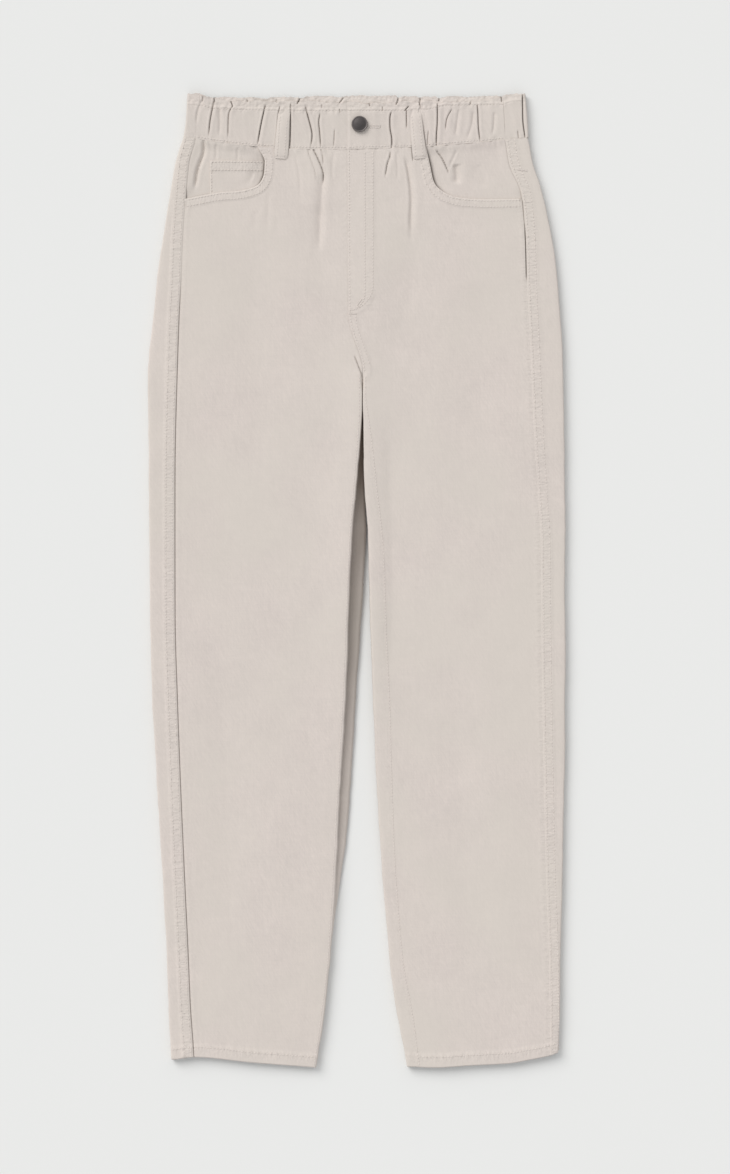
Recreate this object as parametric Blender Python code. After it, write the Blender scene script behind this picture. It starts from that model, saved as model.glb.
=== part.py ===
"""Mom jeans with an elasticated paper-bag waist, laid flat on their back.

Metres, +Z up, the waist towards +Y. Right and left are the wearer's, so the right leg lies at -X.
Cloth is drawn with x from the crotch line and y from the lowest point of the hems, and the whole
garment is centred on the origin at the end. Each panel is a wall: a skin of points with their
normals, the same points moved in by the cloth's thickness, and a rim that joins the two.
"""

import math
from bisect import bisect_right
from collections import namedtuple

import bmesh
import bpy
from mathutils import Vector

# Cloth and how it lies
CLOTH = 0.0025
BAND_CLOTH = 0.0022
POCKET_CLOTH = 0.0010
LOOP_CLOTH = 0.0015
SEAM_GAP = 0.0004
LAID_HEIGHT = 0.0088
EDGE_ROLL = 0.0055
LEAST_INNER_HEIGHT = 0.0040

# Heights along the garment
HEM_DEPTH = 0.0125
HEM_RAISE = 0.0007
HEM_FADE = 0.100
CROTCH_HEIGHT = 0.724
CROTCH_BLEND = 0.045
WAIST_HEIGHT = 0.9554
WAIST_LOW_X = -0.039
WAIST_FADE = 0.115
BAND_TOP = 1.0105
BAND_SIDE_RISE = 0.0035
BACK_BAND_RISE = 0.0015
STITCH_SHARE = 0.72
STITCH_GROOVE = 0.0009

# Seam allowances, laps and trims
ALLOWANCE = 0.012
ALLOWANCE_RAISE = 0.0006
LAP_X = -0.0161
LAP_RAISE = 0.0010
LAP_DIP = 0.0018
LAP_RAMP = 0.007
UNDERLAP = 0.028
FLY_WIDTH = 0.0235
FLY_FOOT = 0.792
FLY_RAISE = 0.0005
FACING_TUCK = 0.008
LOOP_WIDTH = 0.0125
LOOP_ARCH = 0.0008
BUTTON_X = -0.0030
BUTTON_Y = 0.9813
BUTTON_RADIUS = 0.0084
BUTTON_HEIGHT = 0.0034
SHANK_RADIUS = 0.0036
SHANK_HEIGHT = 0.0011

# A leg and its half of the body, from the hem up: the outline, the side seam on the top face, the
# inner edge, which is the centre seam above the crotch, and how far round that edge the inseam lies
Section = namedtuple("Section", "height outer side_seam inner inseam_round")
RIGHT_SECTIONS = (
    Section(0.000, -0.1992, -0.1752, -0.0478, 0.0),
    Section(0.055, -0.2016, -0.1786, -0.0400, 0.0),
    Section(0.112, -0.2036, -0.1809, -0.0333, 0.0),
    Section(0.196, -0.2080, -0.1848, -0.0281, 0.0),
    Section(0.300, -0.2142, -0.1893, -0.0224, 0.0),
    Section(0.383, -0.2189, -0.1923, -0.0177, 0.0),
    Section(0.466, -0.2210, -0.1947, -0.0142, 0.0),
    Section(0.539, -0.2220, -0.1949, -0.0112, 0.0),
    Section(0.612, -0.2228, -0.1949, -0.0057, 0.0),
    Section(0.674, -0.2233, -0.1940, -0.0008, 0.0),
    Section(0.724, -0.2231, -0.1925, -0.0002, 0.0),
    Section(0.783, -0.2176, -0.1905, -0.0151, 0.0),
    Section(0.820, -0.2139, -0.1883, -0.0156, 0.0),
    Section(0.861, -0.2080, -0.1867, -0.0158, 0.0),
    Section(0.903, -0.1994, -0.1834, -0.0159, 0.0),
    Section(0.931, -0.1940, -0.1804, -0.0161, 0.0),
    Section(0.9554, -0.1863, -0.1738, -0.0161, 0.0),
)
LEFT_SECTIONS = (
    Section(0.000, 0.2037, 0.1947, 0.0468, 0.0118),
    Section(0.055, 0.2057, 0.1943, 0.0362, 0.0150),
    Section(0.112, 0.2064, 0.1935, 0.0284, 0.0127),
    Section(0.196, 0.2083, 0.1906, 0.0211, 0.0129),
    Section(0.300, 0.2101, 0.1882, 0.0145, 0.0150),
    Section(0.383, 0.2112, 0.1867, 0.0112, 0.0160),
    Section(0.466, 0.2110, 0.1856, 0.0074, 0.0160),
    Section(0.539, 0.2112, 0.1851, 0.0057, 0.0150),
    Section(0.612, 0.2110, 0.1810, 0.0021, 0.0110),
    Section(0.674, 0.2099, 0.1773, 0.0008, 0.0050),
    Section(0.724, 0.2091, 0.1752, 0.0002, 0.0),
    Section(0.783, 0.2062, 0.1724, -0.0151, 0.0),
    Section(0.820, 0.2032, 0.1706, -0.0156, 0.0),
    Section(0.861, 0.1975, 0.1695, -0.0158, 0.0),
    Section(0.903, 0.1874, 0.1648, -0.0159, 0.0),
    Section(0.931, 0.1773, 0.1524, -0.0161, 0.0),
    Section(0.9554, 0.1719, 0.1481, -0.0161, 0.0),
)

# The waistband from its seam, share 0, to the top of its frill, share 1
BandRow = namedtuple("BandRow", "share right_edge right_seam left_seam left_edge")
BAND_ROWS = (
    BandRow(0.00, -0.1863, -0.1738, 0.1481, 0.1719),
    BandRow(0.30, -0.1843, -0.1730, 0.1476, 0.1707),
    BandRow(0.64, -0.1832, -0.1705, 0.1467, 0.1688),
    BandRow(1.00, -0.1823, -0.1690, 0.1457, 0.1667),
)

# How far each hem line lies above the lowest point
HemPoint = namedtuple("HemPoint", "x lift")
RIGHT_HEM = (
    HemPoint(-0.1992, 0.0083),
    HemPoint(-0.1752, 0.0109),
    HemPoint(-0.1149, 0.0052),
    HemPoint(-0.0478, 0.0000),
)
LEFT_HEM = (
    HemPoint(0.0468, 0.0010),
    HemPoint(0.0739, 0.0000),
    HemPoint(0.1110, 0.0021),
    HemPoint(0.1510, 0.0042),
    HemPoint(0.1747, 0.0083),
    HemPoint(0.1947, 0.0125),
    HemPoint(0.2037, 0.0156),
)

# The pocket mouths, from the side seam to the waist seam
MouthPoint = namedtuple("MouthPoint", "x y")
RIGHT_MOUTH = (
    MouthPoint(-0.1865, 0.9035),
    MouthPoint(-0.1648, 0.9080),
    MouthPoint(-0.1461, 0.9111),
    MouthPoint(-0.1274, 0.9126),
    MouthPoint(-0.1108, 0.9173),
    MouthPoint(-0.1035, 0.9266),
    MouthPoint(-0.1019, 0.9391),
    MouthPoint(-0.1025, 0.9464),
    MouthPoint(-0.1092, 0.9578),
)
LEFT_MOUTH = (
    MouthPoint(0.1659, 0.9040),
    MouthPoint(0.1430, 0.9037),
    MouthPoint(0.1222, 0.9037),
    MouthPoint(0.1014, 0.9053),
    MouthPoint(0.0910, 0.9079),
    MouthPoint(0.0816, 0.9131),
    MouthPoint(0.0744, 0.9214),
    MouthPoint(0.0702, 0.9391),
    MouthPoint(0.0660, 0.9580),
)
COIN_LEFT_X = -0.1589
COIN_RIGHT_X = -0.0980
COIN_TOP = 0.9390

# The waistband's gathers: sharp valleys between flat ridges, each from the frill to the waist seam
Gather = namedtuple("Gather", "top_x foot_x depth half_width")
GATHERS = (
    Gather(-0.1534, -0.1605, 0.0019, 0.0026),
    Gather(-0.1373, -0.1401, 0.0015, 0.0026),
    Gather(-0.1009, -0.1094, 0.0021, 0.0026),
    Gather(-0.0880, -0.0930, 0.0012, 0.0024),
    Gather(-0.0735, -0.0771, 0.0021, 0.0026),
    Gather(-0.0598, -0.0536, 0.0020, 0.0026),
    Gather(-0.0452, -0.0437, 0.0015, 0.0026),
    Gather(0.0309, 0.0292, 0.0018, 0.0026),
    Gather(0.0452, 0.0520, 0.0012, 0.0024),
    Gather(0.0610, 0.0662, 0.0021, 0.0026),
    Gather(0.0783, 0.0769, 0.0020, 0.0026),
    Gather(0.0950, 0.0940, 0.0009, 0.0026),
    Gather(0.1080, 0.1074, 0.0009, 0.0026),
    Gather(0.1191, 0.1210, 0.0018, 0.0026),
    Gather(0.1366, 0.1352, 0.0009, 0.0026),
)

# The folds that run down from the waist, and the long soft ones of the legs
Fold = namedtuple("Fold", "top_x top_y foot_x foot_y depth half_width")
FOLDS = (
    Fold(-0.1648, 0.9651, -0.1752, 0.9110, 0.0016, 0.0050),
    Fold(-0.0525, 0.9568, -0.0426, 0.9318, 0.0022, 0.0032),
    Fold(-0.0426, 0.9318, -0.0421, 0.9079, 0.0014, 0.0050),
    Fold(-0.0515, 0.9526, -0.0473, 0.9183, 0.0010, 0.0040),
    Fold(-0.1050, 0.9520, -0.0975, 0.9391, 0.0010, 0.0032),
    Fold(-0.0983, 0.9027, -0.1014, 0.8694, 0.0010, 0.0060),
    Fold(0.0291, 0.9589, 0.0265, 0.9443, 0.0020, 0.0034),
    Fold(0.0265, 0.9443, 0.0224, 0.9183, 0.0012, 0.0045),
    Fold(0.0432, 0.9443, 0.0504, 0.8871, 0.0014, 0.0060),
    Fold(0.0800, 0.9500, 0.0868, 0.9360, 0.0008, 0.0034),
    Fold(0.0972, 0.9526, 0.0910, 0.9360, 0.0008, 0.0040),
    Fold(0.0920, 0.9260, 0.0940, 0.9200, 0.0010, 0.0080),
    Fold(-0.0078, 0.7394, -0.0010, 0.7250, 0.0012, 0.0040),
    Fold(0.0270, 0.6635, 0.0290, 0.3827, 0.0009, 0.0070),
    Fold(-0.0421, 0.8507, -0.0338, 0.7675, 0.0010, 0.0090),
    Fold(-0.1550, 0.3400, -0.1480, 0.1500, 0.0008, 0.0120),
    Fold(0.1350, 0.3000, 0.1280, 0.1200, 0.0008, 0.0120),
)

# The belt loops' middle lines, from the frill to below the waist seam
Loop = namedtuple("Loop", "name top_x top_y foot_x foot_y")
LOOPS = (
    Loop("right_belt_loop", -0.0803, 1.0057, -0.0844, 0.9443),
    Loop("left_belt_loop", 0.0536, 1.0067, 0.0601, 0.9443),
)

CLOTH_COLOUR = (0.60, 0.54, 0.485, 1.0)
POCKET_COLOUR = (0.58, 0.52, 0.468, 1.0)
BUTTON_COLOUR = (0.055, 0.052, 0.055, 1.0)

UP = Vector((0.0, 0.0, 1.0))
DOWN = Vector((0.0, 0.0, -1.0))
ROLL_ARC = math.pi / 2 * math.sqrt((EDGE_ROLL**2 + (LAID_HEIGHT / 2) ** 2) / 2)


def smooth(share):
    """0 below 0, 1 above 1, and an even ease between them."""
    share = min(1.0, max(0.0, share))
    return share * share * (3 - 2 * share)


def through(rows, column, at):
    """A curve through one column of a table that never passes the values on either side."""
    keys = [row[0] for row in rows]
    values = [getattr(row, column) for row in rows]
    at = min(max(at, keys[0]), keys[-1])
    i = min(max(bisect_right(keys, at) - 1, 0), len(keys) - 2)

    def slope(k):
        k = min(max(k, 1), len(keys) - 2)
        before = (values[k] - values[k - 1]) / (keys[k] - keys[k - 1])
        after = (values[k + 1] - values[k]) / (keys[k + 1] - keys[k])
        return 2 * before * after / (before + after) if before * after > 0 else 0.0

    span = keys[i + 1] - keys[i]
    t = (at - keys[i]) / span
    return (
        values[i] * (2 * t**3 - 3 * t**2 + 1)
        + values[i + 1] * (3 * t**2 - 2 * t**3)
        + slope(i) * span * (t**3 - 2 * t**2 + t)
        + slope(i + 1) * span * (t**3 - t**2)
    )


def between(start, end, count):
    """count + 1 evenly spaced numbers from start to end."""
    return [start + (end - start) * k / count for k in range(count + 1)]


def along(points, share):
    """The point at a share of a polyline's length."""
    lengths = [0.0]
    for a, b in zip(points, points[1:]):
        lengths.append(lengths[-1] + math.dist(a, b))
    at = share * lengths[-1]
    i = min(max(bisect_right(lengths, at) - 1, 0), len(points) - 2)
    t = (at - lengths[i]) / (lengths[i + 1] - lengths[i])
    return tuple(a + (b - a) * t for a, b in zip(points[i], points[i + 1]))


def off_segment(x, y, ax, ay, bx, by):
    """Distance from a straight line between two points."""
    dx, dy = bx - ax, by - ay
    t = ((x - ax) * dx + (y - ay) * dy) / (dx * dx + dy * dy)
    t = min(1.0, max(0.0, t))
    return math.hypot(x - ax - t * dx, y - ay - t * dy)


def waist_rise(x):
    """How far the waist seam curves up towards the sides."""
    reach, rise = (0.1456, 0.0130) if x < WAIST_LOW_X else (0.2028, 0.0118)
    return rise * ((x - WAIST_LOW_X) / reach) ** 2


def hem_lift(x):
    return through(RIGHT_HEM if x < 0 else LEFT_HEM, "lift", x)


def laid(x, height):
    """Where a point of that height lies once hem and waist follow their curves."""
    hem = hem_lift(x) * (1 - smooth(height / HEM_FADE))
    waist = waist_rise(x) * smooth(1 - (WAIST_HEIGHT - height) / WAIST_FADE)
    return height + hem + waist


def height_of(x, y):
    """The height that laid() moves to y."""
    height = y
    for _ in range(6):
        height += y - laid(x, height)
    return height


def band_y(x, share, extra=0.0):
    """The waistband's y at a share of its height."""
    low = WAIST_HEIGHT + waist_rise(x)
    side = smooth((abs(x + 0.005) - 0.150) / 0.012)
    return low + share * (BAND_TOP + extra + BAND_SIDE_RISE * side - low)


def off_outline(x, y):
    """How far inside the outline a point lies."""
    if y > WAIST_HEIGHT:
        share = (y - WAIST_HEIGHT) / (BAND_TOP - WAIST_HEIGHT)
        right = through(BAND_ROWS, "right_edge", share)
        left = through(BAND_ROWS, "left_edge", share)
        return min(x - right, left - x)
    sections = RIGHT_SECTIONS if x < through(RIGHT_SECTIONS, "inner", y) else LEFT_SECTIONS
    joined = 0.02 * smooth((y - CROTCH_HEIGHT) / CROTCH_BLEND)
    inner = abs(x - through(sections, "inner", y)) + joined
    return min(abs(x - through(sections, "outer", y)), inner)


def valley(x, y):
    """How deep the gathers and folds press the top face in. The waist seam holds it level."""
    total = 0.0
    for gather in GATHERS:
        if abs(x - gather.foot_x) > 0.02:
            continue
        foot_y = band_y(gather.foot_x, 0.0)
        top_y = band_y(gather.top_x, 0.85)
        far = off_segment(x, y, gather.foot_x, foot_y, gather.top_x, top_y)
        total += (gather.depth * math.exp(-((far / gather.half_width) ** 2))) ** 4
    for fold in FOLDS:
        far = off_segment(x, y, fold.top_x, fold.top_y, fold.foot_x, fold.foot_y)
        total += (fold.depth * math.exp(-((far / fold.half_width) ** 2))) ** 4
    held = smooth(abs(y - band_y(x, 0.0)) / 0.008)
    return total**0.25 * held * smooth((off_outline(x, y) - EDGE_ROLL) / 0.006)


def frill_wave(x, y):
    """The paper-bag frill's waves above its stitch line, and the groove that the stitches pull."""
    low = WAIST_HEIGHT + waist_rise(x)
    share = (y - low) / (BAND_TOP - low)
    groove = STITCH_GROOVE * math.exp(-(((share - STITCH_SHARE) / 0.06) ** 2))
    ripple = 0.5 - 0.5 * math.cos(430 * x + 1.1 * math.sin(57 * x))
    return groove + 0.0012 * ripple * smooth((share - STITCH_SHARE) / 0.2)


def fly_raise(x, y):
    """The fly is doubled cloth, as far as its J-shaped stitching."""
    drop = max(0.0, (FLY_FOOT + FLY_WIDTH - y) / FLY_WIDTH)
    reach = FLY_WIDTH * math.sqrt(max(0.0, 1 - min(1.0, drop) ** 2))
    return FLY_RAISE * smooth((LAP_X + reach - x) / 0.0015 + 0.5) * smooth((y - FLY_FOOT) / 0.002)


def top_height(x, y, is_left):
    """The height of the garment's top face."""
    z = LAID_HEIGHT - valley(x, y)
    if y > WAIST_HEIGHT:
        z -= frill_wave(x, y) * smooth((off_outline(x, y) - EDGE_ROLL) / 0.006)
    elif is_left:
        z += fly_raise(x, y)
    return z


def on_height(x, y, height, step=0.0004):
    """(point, normal) of a surface given by its height over the floor plan."""
    z = height(x, y)
    across = (height(x + step, y) - height(x - step, y)) / (2 * step)
    along_y = (height(x, y + step) - height(x, y - step)) / (2 * step)
    return Vector((x, y, z)), Vector((-across, -along_y, 1.0)).normalized()


class Leg:
    """One leg with its half of the body."""

    def __init__(self, name, sections, mouth):
        self.name = name
        self.sections = sections
        self.is_left = sections is LEFT_SECTIONS
        self.inward = -1 if self.is_left else 1
        self.mouth = [(p.x, p.y) for p in mouth]

    def at(self, column, height):
        return through(self.sections, column, height)

    def top(self, x, y):
        hem = HEM_RAISE * smooth((HEM_DEPTH - height_of(x, y)) / 0.0008 + 0.5)
        return top_height(x, y, self.is_left) + (hem if y < HEM_FADE else 0.0)

    def top_point(self, x, height):
        return on_height(x, laid(x, height), self.top)

    def edge_point(self, column, round_it, height):
        """(point, normal) at a distance round a rolled edge: 0 at mid-height, above it on the top
        face, below it on the underside. The centre seam has no roll."""
        edge = self.at(column, height)
        inward = self.inward if column == "outer" else -self.inward
        if abs(round_it) > ROLL_ARC:
            x = edge + inward * (EDGE_ROLL + abs(round_it) - ROLL_ARC)
            if round_it > 0:
                return self.top_point(x, height)
            return Vector((x, laid(x, height), 0.0)), DOWN
        rolled = 1.0
        if column == "inner":
            rolled = 1 - smooth((height - CROTCH_HEIGHT) / CROTCH_BLEND)
        turn = round_it / ROLL_ARC * math.pi / 2
        flat = 1 - abs(round_it) / ROLL_ARC
        reach = rolled * math.cos(turn) + (1 - rolled) * flat
        x = edge + inward * EDGE_ROLL * (1 - reach)
        y = laid(x, height)
        half = LAID_HEIGHT / 2
        if round_it >= 0:
            z = self.top(x, y) - rolled * half * (1 - math.sin(turn))
            face = UP
        else:
            z = rolled * half * (1 + math.sin(turn))
            face = DOWN
        rounded = Vector((-inward * math.cos(turn) / EDGE_ROLL, 0.0, math.sin(turn) / half))
        normal = rounded.normalized() * rolled + face * (1 - rolled)
        return Vector((x, y, z)), normal.normalized()

    def mouth_off(self, x, y):
        """Distance from the pocket mouth, positive on the facing that shows."""
        best, sign = 1.0, 1.0
        for (ax, ay), (bx, by) in zip(self.mouth, self.mouth[1:]):
            far = off_segment(x, y, ax, ay, bx, by)
            if far < best:
                best = far
                turn = (bx - ax) * (y - ay) - (by - ay) * (x - ax)
                sign = self.inward if turn > 0 else -self.inward
        return best * sign

    def facing_top(self, x, y):
        """The height of the pocket facing: level with its seams, and sunk under the mouth."""
        sink = 0.0033 if self.is_left else 0.0043
        height = height_of(x, y)
        shown = smooth((self.mouth_off(x, y) - 0.001) / 0.010)
        off_side = abs(x - self.at("side_seam", height))
        side = shown * (1 - smooth(off_side / 0.012))
        waist = shown * (1 - smooth((WAIST_HEIGHT - height) / 0.010))
        sunk = top_height(x, y, False) - sink * (1 - side) * (1 - waist)
        return max(sunk, LEAST_INNER_HEIGHT)


RIGHT = Leg("right", RIGHT_SECTIONS, RIGHT_MOUTH)
LEFT = Leg("left", LEFT_SECTIONS, LEFT_MOUTH)

# Rows shared by panels that meet at a seam
LEG_ROWS = [0.0, HEM_DEPTH - 0.0006, HEM_DEPTH + 0.0006] + between(0.045, CROTCH_HEIGHT, 13)
MOUTH_FOOT = height_of(RIGHT.mouth[0][0], RIGHT.mouth[0][1])
SEAM_TOP = WAIST_HEIGHT - SEAM_GAP / 2
SIDE_ROWS = between(CROTCH_HEIGHT, MOUTH_FOOT, 10)[1:]
FACING_ROWS = between(MOUTH_FOOT, COIN_TOP, 5) + [SEAM_TOP - 0.008, SEAM_TOP]
POCKET_ROWS = 10


def trimmed(seam_point, inward):
    """A plan point moved off its seam by half the gap."""
    return seam_point + inward * SEAM_GAP / 2


def front_skin(leg):
    """From the side seam and the pocket mouth to the inseam and the centre seam."""
    last = laid(leg.mouth[-1][0], SEAM_TOP)
    curve = leg.mouth[:-1] + [(leg.mouth[-1][0], last)]
    outer = [(trimmed(leg.at("side_seam", h), leg.inward), h) for h in LEG_ROWS + SIDE_ROWS]
    for share in between(0.0, 1.0, POCKET_ROWS)[1:]:
        x, y = along(curve, share)
        outer.append((x, height_of(x, y)))
    upper = len(SIDE_ROWS) + POCKET_ROWS
    inner_heights = LEG_ROWS + between(CROTCH_HEIGHT, SEAM_TOP, upper)[1:]
    rows = []
    for (x, height), inner_height in zip(outer, inner_heights):
        inseam = leg.at("inseam_round", inner_height) + SEAM_GAP / 2
        roll_top = max(ROLL_ARC, inseam) + 0.004
        start, _ = leg.edge_point("inner", roll_top, inner_height)
        end_height = height_of(start.x, start.y)
        row = []
        for share in between(0.0, 1.0, 11):
            row.append(leg.top_point(x + (start.x - x) * share, height + (end_height - height) * share))
        for round_it in between(roll_top, inseam, 4)[1:]:
            row.append(leg.edge_point("inner", round_it, inner_height))
        rows.append(row)
    return rows


def back_skin(leg):
    """From the side seam round the outer edge, along the floor and up to the inseam."""
    seam_rows = SIDE_ROWS + FACING_ROWS[1:]
    rows = []
    upper = between(CROTCH_HEIGHT, SEAM_TOP, len(seam_rows))[1:]
    for height, inner_height in zip(LEG_ROWS + seam_rows, LEG_ROWS + upper):
        seam = trimmed(leg.at("side_seam", height), -leg.inward)
        strip = abs(seam - leg.at("outer", height)) - EDGE_ROLL
        raised = min(ALLOWANCE, 0.8 * strip)
        row = []
        for inset in (0.0, raised, raised + 0.1 * strip):
            point, normal = leg.edge_point("outer", ROLL_ARC + strip - inset, height)
            lift = 0.0 if inset > raised else ALLOWANCE_RAISE
            row.append((point + normal * lift, normal))
        for round_it in between(ROLL_ARC, -ROLL_ARC, 6):
            row.append(leg.edge_point("outer", round_it, height))
        start, _ = leg.edge_point("outer", -ROLL_ARC - 0.001, height)
        end, _ = leg.edge_point("inner", -ROLL_ARC - 0.001, inner_height)
        for share in between(0.0, 1.0, 4)[1:]:
            point = start.lerp(end, share)
            x = point.x
            mix = height + (inner_height - height) * share
            row.append((Vector((x, laid(x, mix), 0.0)), DOWN))
        inseam = leg.at("inseam_round", inner_height) - SEAM_GAP / 2
        for round_it in between(-ROLL_ARC, inseam, 5)[1:]:
            row.append(leg.edge_point("inner", round_it, inner_height))
        rows.append(row)
    return rows


def facing_skin(leg):
    """The hip piece behind the pocket mouth, tucked under the front below and beside the mouth."""
    columns = between(leg.at("side_seam", MOUTH_FOOT), leg.mouth[-1][0] + leg.inward * FACING_TUCK, 12)
    if not leg.is_left:
        columns = between(columns[0], COIN_LEFT_X, 4) + between(COIN_LEFT_X, COIN_RIGHT_X, 8)[1:]
        columns.append(COIN_RIGHT_X + 0.003)
    rows = []
    for height in [MOUTH_FOOT - FACING_TUCK] + FACING_ROWS:
        seam = trimmed(leg.at("side_seam", height), leg.inward)
        row = []
        for column in columns:
            x = seam + (column - columns[0]) * (columns[-1] - seam) / (columns[-1] - columns[0])
            row.append(on_height(x, laid(x, height), leg.facing_top))
        rows.append(row)
    return rows


def coin_pocket_skin():
    """The coin pocket, its points moved out from those of the facing that it lies on."""
    away = SEAM_GAP + POCKET_CLOTH
    facing = facing_skin(RIGHT)[1 : 2 + FACING_ROWS.index(COIN_TOP)]
    return [[(point + normal * away, normal) for point, normal in row[4:13]] for row in facing]


def band_columns(start, end, seam_tops):
    """Pairs of foot and top x that follow the gathers: a valley, its shoulders and its ridges."""
    pairs = [start]
    for gather in GATHERS:
        if not start[0] < gather.foot_x < end[0]:
            continue
        for offset in (-1.3, 0.0, 1.3):
            step = offset * gather.half_width
            pairs.append((gather.foot_x + step, gather.top_x + step))
    pairs += seam_tops + [end]
    pairs.sort()
    filled = [pairs[0]]
    for pair in pairs[1:]:
        pieces = max(1, math.ceil((pair[0] - filled[-1][0]) / 0.0065))
        last = filled[-1]
        for share in between(0.0, 1.0, pieces)[1:]:
            filled.append(tuple(a + (b - a) * share for a, b in zip(last, pair)))
    return filled


def band_front_skin(leg):
    """One half of the front waistband. The left half laps over the right at the button."""
    def top(x, y):
        z = top_height(x, y, False)
        if leg.is_left:
            return z + LAP_RAISE * (1 - smooth((x - LAP_X - UNDERLAP) / 0.008))
        return z - LAP_DIP * smooth((x - LAP_X + LAP_RAMP) / LAP_RAMP)

    half = SEAM_GAP / 2
    if leg.is_left:
        start = (LAP_X, LAP_X)
        end = (BAND_ROWS[0].left_seam - half, BAND_ROWS[-1].left_seam - half)
        extra = []
    else:
        start = (BAND_ROWS[0].right_seam + half, BAND_ROWS[-1].right_seam + half)
        end = (LAP_X + UNDERLAP, LAP_X + UNDERLAP)
        extra = [(LAP_X - LAP_RAMP, LAP_X - LAP_RAMP), (LAP_X, LAP_X)]
    rows = []
    for share in (0.0, 0.30, 0.55, STITCH_SHARE, 0.85, 1.0):
        row = []
        for foot_x, top_x in band_columns(start, end, extra):
            x = foot_x + (top_x - foot_x) * share
            y = band_y(x, share) + (half if share == 0.0 else 0.0)
            row.append(on_height(x, y, top))
        rows.append(row)
    return rows


def band_back_skin():
    """The back waistband, from seam to seam round both sides and along the floor."""
    half = SEAM_GAP / 2

    def strip(seam, edge, share, inward, outward_first):
        """The top strip beside a seam and the rolled edge next to it."""
        points = []
        reach = abs(edge - seam) - EDGE_ROLL
        for inset in between(0.0, 1.0, 2)[:-1]:
            x = seam - inward * reach * inset
            y = band_y(x, share, BACK_BAND_RISE) + (half if share == 0.0 else 0.0)
            points.append(on_height(x, y, lambda x, y: top_height(x, y, False)))
        for turn in between(math.pi / 2, -math.pi / 2, 6):
            x = edge + inward * EDGE_ROLL * (1 - math.cos(turn))
            y = band_y(x, share, BACK_BAND_RISE) + (half if share == 0.0 else 0.0)
            z = LAID_HEIGHT / 2 * (1 + math.sin(turn))
            normal = Vector((-inward * math.cos(turn) / EDGE_ROLL, 0.0, math.sin(turn) / (LAID_HEIGHT / 2)))
            points.append((Vector((x, y, z)), normal.normalized()))
        return points if outward_first else points[::-1]

    rows = []
    for share in (0.0, 0.30, 0.55, STITCH_SHARE, 0.85, 1.0):
        edges = [through(BAND_ROWS, column, share) for column in BandRow._fields[1:]]
        right = strip(edges[1] - half, edges[0], share, 1, True)
        left = strip(edges[2] + half, edges[3], share, -1, False)
        floor = []
        for x in between(edges[0] + EDGE_ROLL, edges[3] - EDGE_ROLL, 16)[1:-1]:
            y = band_y(x, share, BACK_BAND_RISE) + (half if share == 0.0 else 0.0)
            floor.append((Vector((x, y, 0.0)), DOWN))
        rows.append(right + floor + left)
    return rows


def loop_skin(loop):
    """A belt loop, stitched down at both ends and bridging the gathers."""
    top, foot = Vector((loop.top_x, loop.top_y, 0)), Vector((loop.foot_x, loop.foot_y, 0))
    across = (top - foot).cross(UP).normalized() * LOOP_WIDTH / 2
    lowest = LAID_HEIGHT + FLY_RAISE + SEAM_GAP
    rows = []
    for share in between(0.0, 1.0, 10):
        middle = foot.lerp(top, share)
        arch = LOOP_ARCH * math.sin(math.pi * share) ** 0.6
        height = lowest + LOOP_CLOTH + arch
        row = []
        for side, drop in ((-1.0, 0.0003), (-0.85, 0.0), (0.0, -0.0002), (0.85, 0.0), (1.0, 0.0003)):
            row.append((middle + across * side + UP * (height - drop), UP))
        rows.append(row)
    return rows


def material(name, colour, roughness, metallic=0.0):
    made = bpy.data.materials.new(name)
    made.use_nodes = True
    shader = made.node_tree.nodes["Principled BSDF"]
    shader.inputs["Base Color"].default_value = colour
    shader.inputs["Roughness"].default_value = roughness
    shader.inputs["Metallic"].default_value = metallic
    made.diffuse_color = colour
    return made


def add_object(name, mesh_data, made_of):
    mesh = bpy.data.meshes.new(name)
    mesh_data.to_mesh(mesh)
    mesh_data.free()
    mesh.materials.append(made_of)
    mesh.shade_smooth()
    mesh.set_sharp_from_angle(angle=math.radians(40))
    made = bpy.data.objects.new(name, mesh)
    bpy.context.scene.collection.objects.link(made)
    return made


def wall(name, skin, thickness, made_of):
    """A closed wall from rows of (point, normal), its far side moved in by the thickness."""
    mesh_data = bmesh.new()
    across = len(skin[0])
    outer = [[mesh_data.verts.new(point) for point, _ in row] for row in skin]
    inner = [[mesh_data.verts.new(point - normal * thickness) for point, normal in row] for row in skin]
    for r in range(len(skin) - 1):
        for c in range(across - 1):
            for grid in (outer, inner):
                mesh_data.faces.new((grid[r][c], grid[r][c + 1], grid[r + 1][c + 1], grid[r + 1][c]))
    rim = [(0, c) for c in range(across)] + [(r, across - 1) for r in range(1, len(skin))]
    rim += [(len(skin) - 1, c) for c in range(across - 2, -1, -1)] + [(r, 0) for r in range(len(skin) - 2, 0, -1)]
    for (r, c), (next_r, next_c) in zip(rim, rim[1:] + rim[:1]):
        mesh_data.faces.new((outer[r][c], outer[next_r][next_c], inner[next_r][next_c], inner[r][c]))
    bmesh.ops.recalc_face_normals(mesh_data, faces=mesh_data.faces)
    return add_object(name, mesh_data, made_of)


def turned(name, profile, centre, made_of, sides=24):
    """A solid of revolution about +Z from (radius, height) points, first and last on the axis."""
    mesh_data = bmesh.new()
    points = [mesh_data.verts.new((radius, 0.0, height)) for radius, height in profile]
    edges = [mesh_data.edges.new(pair) for pair in zip(points, points[1:])]
    bmesh.ops.spin(
        mesh_data, geom=points + edges, cent=(0, 0, 0), axis=(0, 0, 1), angle=2 * math.pi, steps=sides, use_merge=True
    )
    bmesh.ops.remove_doubles(mesh_data, verts=mesh_data.verts, dist=1e-6)
    bmesh.ops.recalc_face_normals(mesh_data, faces=mesh_data.faces)
    made = add_object(name, mesh_data, made_of)
    made.location = centre
    return made


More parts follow.
